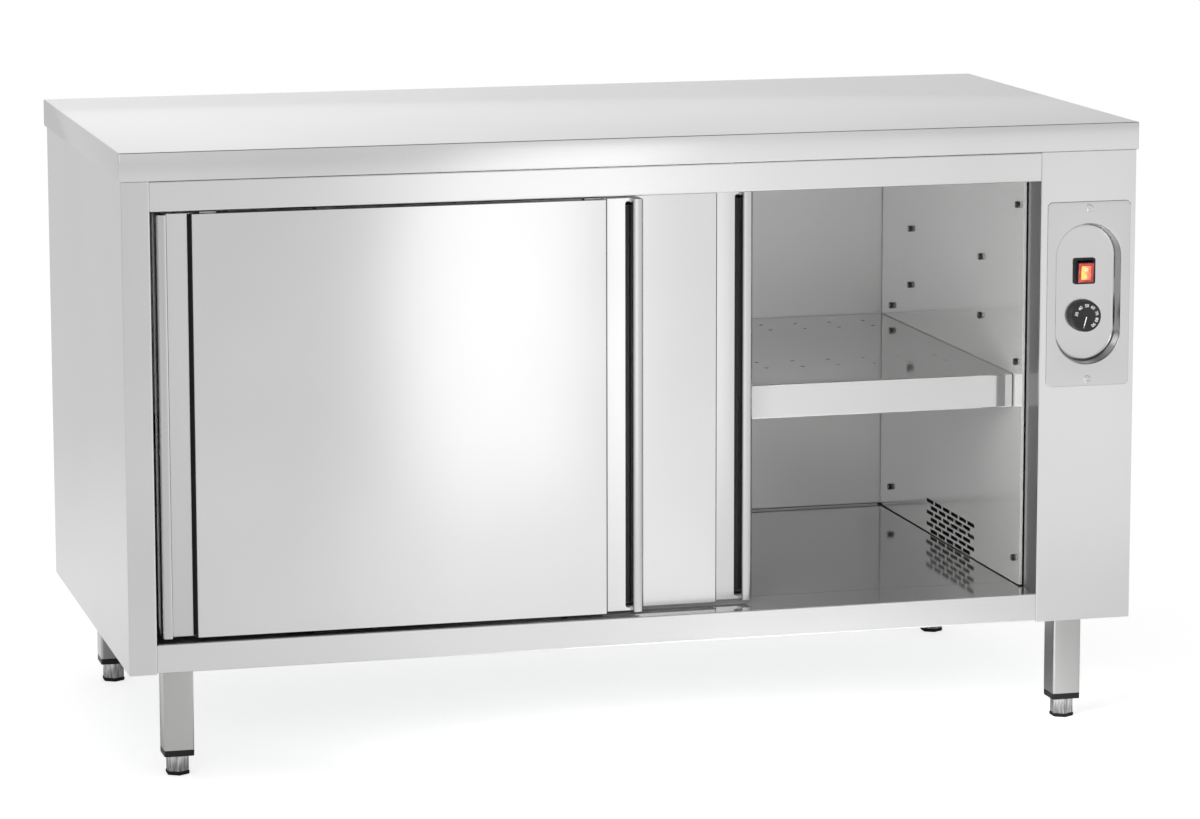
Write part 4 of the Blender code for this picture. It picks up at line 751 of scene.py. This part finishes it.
# %% Switch
BEZEL_Y = switch_low.y
bezel_back = FLOOR_Y - 0.3 * MM
outline = rounded(rectangle(switch_low.x, switch_low.z, switch_high.x, switch_high.z), 3 * MM, 5)
shell = prism(outline, "Y", BEZEL_Y, bezel_back)
well = prism(rounded(about_switch(*SWITCH_WELL), 1.2 * MM, 3), "Y", BEZEL_Y - PAST, FLOOR_Y + 12 * MM)
housing = prism(about_switch(*SWITCH_HOUSING), "Y", bezel_back - 0.5 * MM, switch_high.y)
piece("switch_frame", joined([shell, housing]), black_plastic, "cabinet", ["switch_body"],
      bevel=0.6 * MM, cuts=[well])

ROCKER_TILT = math.radians(7)
PIVOT = Vector((switch_centre.x, FLOOR_Y + 4 * MM, switch_centre.z))
CROWN = BEZEL_Y - 6.5 * MM
HALF_X, HALF_Z, HOLLOW = 11.25 * MM, 13.75 * MM, 1.2 * MM
CAP_DEEP, CAP_SHOULDER, BLOCK_CUT = 2 * MM, 0.6 * MM, 4 * MM


def tipped(shape):
    """Turns a shape about the rocker's pivot to the on position."""
    bmesh.ops.rotate(shape, cent=PIVOT, matrix=Matrix.Rotation(ROCKER_TILT, 3, "X"), verts=shape.verts)
    return shape


def to_front(shape):
    """Turns flat faces towards the viewer."""
    shape.normal_update()
    for face in shape.faces:
        if face.normal.y > 0:
            face.normal_flip()
    return shape


def crown_at(z):
    """The rocker's face is hollow: deepest at its middle."""
    return CROWN + HOLLOW * (1 - min(1, abs(z - PIVOT.z) / (HALF_Z - 1.5 * MM)) ** 2)


under, over = PIVOT.z - HALF_Z, PIVOT.z + HALF_Z
heights = [PIVOT.z + (-1 + 2 * step / 12) * (HALF_Z - MM) for step in range(13)]
cap_side = [(CROWN + CAP_DEEP, under), (CROWN + CAP_SHOULDER, under)]
cap_side += [(crown_at(z), z) for z in heights] + [(CROWN + CAP_SHOULDER, over), (CROWN + CAP_DEEP, over)]
cap = prism(cap_side, "X", PIVOT.x - HALF_X + 0.3 * MM, PIVOT.x + HALF_X - 0.3 * MM)
piece("rocker_lens", tipped(cap), red_lens, "rocker_body", ["rocker"], bevel=0.5 * MM,
      angle=50)
block_side = [(CROWN + CAP_DEEP, under), (CROWN + CAP_DEEP, over), (PIVOT.y, over),
              (PIVOT.y + BLOCK_CUT, over - BLOCK_CUT), (PIVOT.y + BLOCK_CUT, under + BLOCK_CUT),
              (PIVOT.y, under)]
block = prism(block_side, "X", PIVOT.x - HALF_X, PIVOT.x + HALF_X)
piece("rocker_block", tipped(block), black_plastic, "rocker_body", bevel=0.4 * MM,
      steps=2)


def on_rocker(x, z, lift):
    """A point over the rocker's face before it tips."""
    return Vector((PIVOT.x + x, crown_at(PIVOT.z + z) - lift, PIVOT.z + z))


def ribbon(rows, closed=False):
    """A flat band through rows of two points."""
    band = bmesh.new()
    rows = [[band.verts.new(point) for point in row] for row in rows]
    for row, following in zip(rows, rows[1:] + (rows[:1] if closed else [])):
        band.faces.new((row[0], row[1], following[1], following[0]))
    return band


WINDOW_X, WINDOW_Z, WINDOW_LIFT, MARK_LIFT = 6.85 * MM, 9.5 * MM, 0.35 * MM, 0.5 * MM
RING_Z, RING_RADIUS, RING_WIDE = 4.6 * MM, 1.9 * MM, 0.75 * MM
STROKE = rectangle(-0.4 * MM, -7.0 * MM, 0.4 * MM, -2.6 * MM)
window = ribbon([[on_rocker(x, -WINDOW_Z + 2 * WINDOW_Z * step / 8, WINDOW_LIFT)
                  for x in (-WINDOW_X, WINDOW_X)] for step in range(9)])
piece("rocker_window", tipped(to_front(window)), lit_window, "rocker_body", wall=0.6 * MM)
marks = ribbon([[on_rocker(radius * math.sin(turn), RING_Z + radius * math.cos(turn), MARK_LIFT)
                 for radius in (RING_RADIUS - RING_WIDE / 2, RING_RADIUS + RING_WIDE / 2)]
                for turn in around(28)], closed=True)
marks.faces.new([marks.verts.new(on_rocker(x, z, MARK_LIFT)) for x, z in STROKE])
piece("rocker_marks", tipped(to_front(marks)), print_white, "rocker_body", wall=0.12 * MM)

# %% [markdown]
# ## Dial
#
# The dial is a turned black knob with a flat face, a softened edge and a slightly wider foot. A
# white line points down to the setting, and the figures of the scale are printed on the knob, so
# they turn with it. Figures are text curves, turned to meshes and laid on the face one by one.

# %% Knob
face_y, foot_y = knob_low.y, knob_high.y
KNOB_RADIUS, KNOB_FOOT, KNOB_ROUND, BORE = 21.1 * MM, 22.3 * MM, 1.5 * MM, 3.3 * MM
INK_Y = face_y + 0.15 * MM
knob_profile = [(BORE, foot_y), (KNOB_FOOT, foot_y), (KNOB_FOOT, foot_y - 2.0 * MM)]
knob_profile += [(KNOB_RADIUS - KNOB_ROUND * (1 - math.cos(turn)),
                  face_y + KNOB_ROUND * (1 - math.sin(turn))) for turn in QUARTER]
knob_profile += [(18.6 * MM, face_y), (18.3 * MM, INK_Y), (0.4 * MM, INK_Y)]
socket = turned([(BORE, foot_y + MM), (BORE, foot_y - 9 * MM)], "Y", KNOB, 24)
piece("dial_knob", turned(knob_profile, "Y", KNOB, 96), dial_plastic, "knob",
      ["thermostat_knob"], cuts=[socket])

PRINT_Y = INK_Y - 0.02 * MM


def on_face(x, z):
    """A place on the dial's face, measured from its middle."""
    return Vector((KNOB[0] + x, PRINT_Y, KNOB[1] + z))


def printed_text(words, size, turn, radius):
    """Figures set round the dial: turn is clockwise from the top, as seen from the front."""
    curve = bpy.data.curves.new("figure", "FONT")
    curve.body, curve.size = words, size
    curve.align_x, curve.align_y = "CENTER", "CENTER"
    curve.resolution_u = 3
    holder = placed("figure", curve)
    mesh = applied(holder)
    bpy.data.objects.remove(holder, do_unlink=True)
    place = Matrix.Translation(on_face(radius * math.sin(turn), radius * math.cos(turn)))
    mesh.transform(place @ Matrix.Rotation(turn, 4, "Y") @ Matrix.Rotation(math.pi / 2, 4, "X"))
    return mesh


SCALE = [(-75, "30"), (-38, "40"), (0, "50"), (36, "60"), (73, "70"), (108, "80"), (140, "90")]
FIGURE_HIGH, FIGURE_RADIUS = 6.2 * MM, 15.0 * MM
figures = as_shape(*[printed_text(words, FIGURE_HIGH, math.radians(degrees), FIGURE_RADIUS)
                     for degrees, words in SCALE])
POINTER_TURN, TICK_RADIUS, TICK_PLACE = math.radians(195), 0.7 * MM, 15.6 * MM
POINTER_START, POINTER_STOP, POINTER_HALF = 0.5 * MM, 13.5 * MM, 0.6 * MM
outward = Vector((math.sin(POINTER_TURN), math.cos(POINTER_TURN)))
aside = Vector((outward.y, -outward.x)) * POINTER_HALF
pointer = [outward * POINTER_START - aside, outward * POINTER_STOP - aside,
           outward * POINTER_STOP + aside, outward * POINTER_START + aside]
tick = [(math.sin(POINTER_TURN) * TICK_PLACE + TICK_RADIUS * math.cos(turn),
         math.cos(POINTER_TURN) * TICK_PLACE + TICK_RADIUS * math.sin(turn)) for turn in around(16)]
for outline in (pointer, tick):
    figures.faces.new([figures.verts.new(on_face(*point)) for point in outline])
piece("dial_print", to_front(figures), print_white, "knob", wall=0.08 * MM)
print("the dial shows", [words for degrees, words in SCALE])

# %% [markdown]
# ## Screws and studs
#
# The same fastener comes again and again, which is work for Geometry Nodes: a node tree takes one
# head, a list of places as points, and sets the head on each of them. The tree ends by making the
# copies real and giving them their finish, because an exporter would lose instances.

# %% Scatter tree
class Recipe(Graph):
    """A Geometry Nodes tree with inputs of its own."""

    family = "GeometryNode"

    def __init__(self, name, **sockets):
        super().__init__(bpy.data.node_groups.new(name, "GeometryNodeTree"))
        for label, kind in sockets.items():
            self.tree.interface.new_socket(label, in_out="INPUT", socket_type="NodeSocket" + kind)
        self.tree.interface.new_socket("Result", in_out="OUTPUT", socket_type="NodeSocketGeometry")
        self.entry = self.tree.nodes.new("NodeGroupInput")

    def given(self, label):
        """One of the tree's own inputs."""
        return Wire(self, self.entry.outputs[label])

    def run(self, made, finish, carrier, **values):
        """Ends the tree, sets it on an object with its inputs' values, and returns the shape."""
        real = self.node("RealizeInstances", {}, made)
        painted = self.node("SetMaterial", {}, Geometry=real, Material=finish)
        self.tree.links.new(painted.socket, self.tree.nodes.new("NodeGroupOutput").inputs["Result"])
        modifier = carrier.modifiers.new("recipe", "NODES")
        modifier.node_group = self.tree
        for item in self.tree.interface.items_tree:
            if item.name in values:
                modifier[item.identifier] = values[item.name]
        mesh = applied(carrier)
        bpy.data.objects.remove(carrier, do_unlink=True)
        return as_shape(mesh)


def scatter(name, places, head, facing, finish, body):
    """Sets one head on every place, facing along a direction, and keeps the result as a piece."""
    recipe = Recipe(name, Places="Geometry", Head="Object", Turn="Rotation")
    points = recipe.node("MeshToPoints", {}, recipe.given("Places"))
    copied = recipe.node("ObjectInfo", {"output": "Geometry"}, recipe.given("Head"))
    heads = recipe.node("InstanceOnPoints", {}, Points=points, Instance=copied,
                        Rotation=recipe.given("Turn"))
    model = placed(name + "_head", as_mesh("head", head))
    cloud = bpy.data.meshes.new(name)
    cloud.from_pydata([tuple(place) for place in places], [], [])
    turn = Vector((0, 0, 1)).rotation_difference(Vector(facing)).to_euler()
    shape = recipe.run(heads, finish, placed(name, cloud), Head=model, Turn=tuple(turn))
    bpy.data.objects.remove(model, do_unlink=True)
    piece(name, shape, finish, body)


def pan_head(radius, height, cross):
    """A domed screw head with a cross recess, its top towards +Z."""
    dome = [(radius * math.cos(turn), height * math.sin(turn)) for turn in QUARTER[:-1]]
    head = turned([(radius, -0.3 * MM)] + dome + [(0.08 * radius, height)], "Z", (0, 0), 28)
    half, reach = cross / 2, 0.55 * radius
    blank = placed("blank", as_mesh("blank", head))
    mesh = applied(blank, [prism(rectangle(-x, -y, x, y), "Z", 0.35 * height, 2 * height)
                           for x, y in ((half, reach), (reach, half))])
    bpy.data.objects.remove(blank, do_unlink=True)
    return as_shape(mesh)


# %% Screws of the control plate
SCREW_SPREAD = 118.2 * MM
screws = [(PLATE_X, PLATE_Y, PLATE_Z + SCREW_SPREAD), (PLATE_X, PLATE_Y, PLATE_Z - SCREW_SPREAD)]
scatter("plate_screws", screws, pan_head(5.5 * MM, 0.95 * MM, 1.6 * MM), (0, -1, 0), screw_metal,
        "cabinet")

# %% Pegs of the lining
PEG_RADIUS, PEG_LONG, PEG_RIM, PIN_RADIUS = 4.6 * MM, 4.7 * MM, 0.4 * MM, 3.1 * MM
STUD_OUT = 4.5 * MM
STUD_ROWS, STUD_LINES = [463.0 * MM, 546.5 * MM, 630.0 * MM], [-125.0 * MM, 185.0 * MM]
left_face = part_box("inner_left_wall")[1].x - STUD_OUT
right_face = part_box("inner_right_wall")[0].x + STUD_OUT
EDGE_ROWS, EDGE_LINES = [227.5 * MM, 503.5 * MM, 722.0 * MM], [-274.5 * MM, 270.0 * MM]
# A black sleeve with a hollow end, and the bright end of the pin inside it.
SLEEVE = [(PEG_RADIUS, 0), (PEG_RADIUS, PEG_LONG - PEG_RIM), (PEG_RADIUS - PEG_RIM, PEG_LONG),
          (PIN_RADIUS + 0.2 * MM, PEG_LONG), (PIN_RADIUS, PEG_LONG - PEG_RIM)]
PIN = [(PIN_RADIUS - 0.1 * MM, PEG_LONG - MM), (PIN_RADIUS - 0.1 * MM, PEG_LONG - 0.3 * MM),
       (0.7 * PIN_RADIUS, PEG_LONG), (0.3 * PIN_RADIUS, PEG_LONG + 0.1 * MM)]
for side, face, inward in (("left", left_face, 1), ("right", right_face, -1)):
    places = [(face, y, z) for lines, rows in ((STUD_LINES, STUD_ROWS), (EDGE_LINES, EDGE_ROWS))
              for y in lines for z in rows]
    scatter(f"{side}_wall_sleeves", places, turned(SLEEVE, "Z", (0, 0), 28), (inward, 0, 0), black_plastic,
            "cabinet")
    scatter(f"{side}_wall_pins", places, turned(PIN, "Z", (0, 0), 24), (inward, 0, 0), screw_metal,
            "cabinet")
print("each side wall has", len(places), "pegs")

# %% [markdown]
# ## Spindle threads
#
# A foot turns down out of its leg on a coarse thread. The thread is a round wire wound up the
# spindle: a spiral curve swept with a small circle, both of them Geometry Nodes with the pitch and
# the radius as inputs. It is hidden in the plug until somebody levels the cabinet.

# %% Threads
PITCH, THREAD_DEEP = 1.75 * MM, 0.55 * MM


def winding(name, radius, height, turns, finish):
    """A helix of wire that starts at the origin."""
    recipe = Recipe(name, Radius="Float", Height="Float", Turns="Float", Wire="Float")
    spiral = recipe.node("CurveSpiral", {}, Resolution=24, Rotations=recipe.given("Turns"),
                         Start_Radius=recipe.given("Radius"), End_Radius=recipe.given("Radius"),
                         Height=recipe.given("Height"))
    section = recipe.node("CurvePrimitiveCircle", {}, Resolution=6,
                          Radius=recipe.given("Wire"))
    swept = recipe.node("CurveToMesh", {}, Curve=spiral, Profile_Curve=section, Fill_Caps=True)
    return recipe.run(swept, finish, placed(name, bpy.data.meshes.new(name)), Radius=radius,
                      Height=height, Turns=turns, Wire=THREAD_DEEP)


for place, (centre, start, stop) in foot_ends.items():
    rise = stop - start - 5 * MM
    wire = winding(f"{place}_spiral", STEM_RADIUS, rise, rise / PITCH, cast_foot)
    bmesh.ops.translate(wire, vec=(centre.x, centre.y, start + 2 * MM), verts=wire.verts)
    piece(f"{place}_thread", wire, cast_foot, f"{place}_foot_body")
print("threads have", round(rise / PITCH), "turns each")

# %% [markdown]
# ## Thin strips
#
# Where two sheets meet there is a fine seam, never a dark slot, because something always stands
# behind it. Narrow strips sit behind the seams of the front, on top of the sill and at the back
# edge of the inner floor. An edge strip on each side wall stands close to the jamb.

# %% Strips
SHEET_BACK = 0.5 * MM


def strip(name, low, high, finish):
    piece(name, prism(rectangle(*low[:2], *high[:2]), "Z", low[2], high[2]), finish, "cabinet")


for rail in ("upper", "lower"):
    low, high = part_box(f"{rail}_rail")
    for side, seam in (("left", low.x), ("right", high.x)):
        strip(f"{rail}_{side}_seam", (seam - 0.7 * MM, low.y + SHEET_BACK, low.z + MM),
              (seam + 0.7 * MM, low.y + SHEET_BACK + 0.3 * MM, high.z - MM), upright_steel)
sill_low, sill_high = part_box("lower_rail")
strip("sill_sheet", (sill_low.x, sill_low.y + 1.4 * MM, sill_high.z),
      (sill_high.x, sill_high.y, sill_high.z + 0.25 * MM), mirror_lining)
floor_low, floor_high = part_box("inner_floor")
wall_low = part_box("inner_back_wall")[0]
strip("back_wall_foot", (floor_low.x + 5 * MM, wall_low.y - 0.2 * MM, sill_high.z - 0.2 * MM),
      (floor_high.x - 5 * MM, wall_low.y + 0.2 * MM, wall_low.z + 0.1 * MM), brushed_back)
WALL_FOLD, WALL_EDGE = 4 * MM, 5 * MM
for side, face, outward in (("left", left_face, -1), ("right", right_face, 1)):
    low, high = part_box(f"inner_{side}_wall")
    near, far = sorted((face, face + outward * WALL_FOLD))
    strip(f"{side}_wall_edge", (near, low.y - WALL_EDGE, low.z + MM),
          (far, low.y + 0.2 * MM, high.z - MM), mirror_wall)
print("sill and floor meet at", round(sill_high.z * 1000, 1), "mm")

# %% [markdown]
# ## Studio
#
# The floor is pale and plain, lit so that it reads as white paper, and it keeps the soft shadow of
# the cabinet. Upright steel that is seen from above shows the floor in front of it, so the paper
# glows more in some places than in others, for every ray but the camera's. A lamp close to the
# front makes the bright patch on the door. The lamp overhead and the two that fill the opening show
# in no mirror.

# %% Floor
# The glow that mirrors see is painted light: brighter to the right, dimmer at the front right corner and
# far back.
LEFT_GLOW, RIGHT_GLOW, CORNER_GLOW = 0.62, 0.98, 0.54
BACK_GLOW, FAR_GLOW, UNDER_GLOW, SEEN_GLOW = 0.74, 0.56, 0.10, 0.81
paper = Finish("paper")
fibres = paper.noise(0.5, 2.0)
white_paper = paper.blend(fibres, grey(0.85), grey(0.87))
sideways, backward = paper.along("X"), paper.along("Y")
# Painted shadow: beneath the cabinet the paper glows far less, for every ray but the camera's.
beneath = sideways.rise(-0.78, -0.62) - sideways.rise(0.62, 0.78)
beneath = beneath * (backward.rise(-0.42, -0.30) - backward.rise(0.30, 0.42))
graded = paper.blend((sideways + backward * 0.2).rise(-0.85, 0.0), grey(LEFT_GLOW), grey(RIGHT_GLOW))
near_right = sideways.rise(0.45, 0.80) * backward.rise(-1.8, -1.0)
graded = paper.blend(near_right, graded, grey(CORNER_GLOW))
far_floor = paper.blend(backward.rise(0.8, 2.6), grey(BACK_GLOW), grey(FAR_GLOW))
graded = paper.blend(backward.rise(0.3, 1.0), graded, far_floor)
graded = paper.blend(beneath, graded, grey(UNDER_GLOW))
glow = paper.blend(paper.ray("Camera"), graded, grey(SEEN_GLOW))
floor_paper = paper.principled(Base_Color=white_paper, Roughness=0.9, Specular_IOR_Level=0.0,
                               Emission_Color=glow, Emission_Strength=0.86)
sheet = bmesh.new()
sheet.faces.new([sheet.verts.new((x, y, 0)) for x, y in ((-90, -50), (90, -50), (0, 120))])
floor = placed("floor", as_mesh("floor", sheet))
floor.data.materials.append(floor_paper)


# %% Lamps
def soft_lamp(name, place, target, width, height, power, mirrored=True):
    """A rectangular soft lamp that looks at a point, and that mirrors show or don't."""
    lamp = bpy.data.lights.new(name, "AREA")
    lamp.shape, lamp.size, lamp.size_y, lamp.energy = "RECTANGLE", width, height, power
    holder = placed(name, lamp)
    holder.location = place
    holder.rotation_euler = (Vector(target) - Vector(place)).to_track_quat("-Z", "Y").to_euler()
    holder.visible_camera, holder.visible_glossy = False, mirrored


soft_lamp("front_panel", (0.34, -2.2, 0.42), (0.0, -0.35, 0.42), 0.54, 0.9, 0.9)
soft_lamp("camera_side_panel", (-2.4, -4.0, 1.8), (0.2, 0, 0.5), 2.0, 1.6, 20)
soft_lamp("overhead_panel", (-0.9, -1.0, 3.0), (0, 0, 0), 2.6, 2.0, 8, mirrored=False)
soft_lamp("opening_fill", (0.0, -0.64, 0.50), (0.55, -0.02, 0.45), 0.3, 0.5, 9, mirrored=False)
soft_lamp("inside_fill", (-0.05, -0.20, 0.60), (-0.05, 0.3, 0.36), 0.8, 0.2, 1.6, mirrored=False)

# %% Surroundings
world = bpy.data.worlds.new("studio")
world.use_nodes = True
bpy.context.scene.world = world
room = Graph(world.node_tree, "Generated")
across = room.along("X") * 0.5 + 0.5
BEHIND = [(0.10, 0.35), (0.18, 0.85), (0.43, 0.83), (0.50, 0.95), (0.56, 1.20), (0.61, 1.05),
          (0.70, 0.80), (0.90, 0.80), (0.97, 0.30)]
BEFORE = [(0.10, 0.35), (0.18, 0.90), (0.50, 0.85), (0.575, 0.90), (0.60, 1.0), (0.66, 1.12),
          (0.70, 0.85), (0.90, 0.85), (0.97, 0.30)]
CEILING_DARKER, AMBIENT = 0.75, 0.35
behind = room.node("ValToRGB", {"stops": BEHIND}, across)
before = room.node("ValToRGB", {"stops": BEFORE}, across)
walls = room.blend(room.along("Y").rise(-0.2, 0.2), before, behind)
ceiling = 1.0 - room.along("Z").rise(0.60, 0.78) * CEILING_DARKER
reflected = room.node("Background", {}, walls, ceiling)
white = room.node("Background", {}, grey(1.0), 1.0)
dim = room.node("Background", {}, grey(1.0), AMBIENT)
bounced = room.node("MixShader", {}, room.ray("Glossy"), dim, reflected)
seen = room.node("MixShader", {}, room.ray("Camera") + room.ray("Transmission"), bounced, white)
room.close("OutputWorld", seen)

bpy.context.scene.view_settings.view_transform = "Standard"
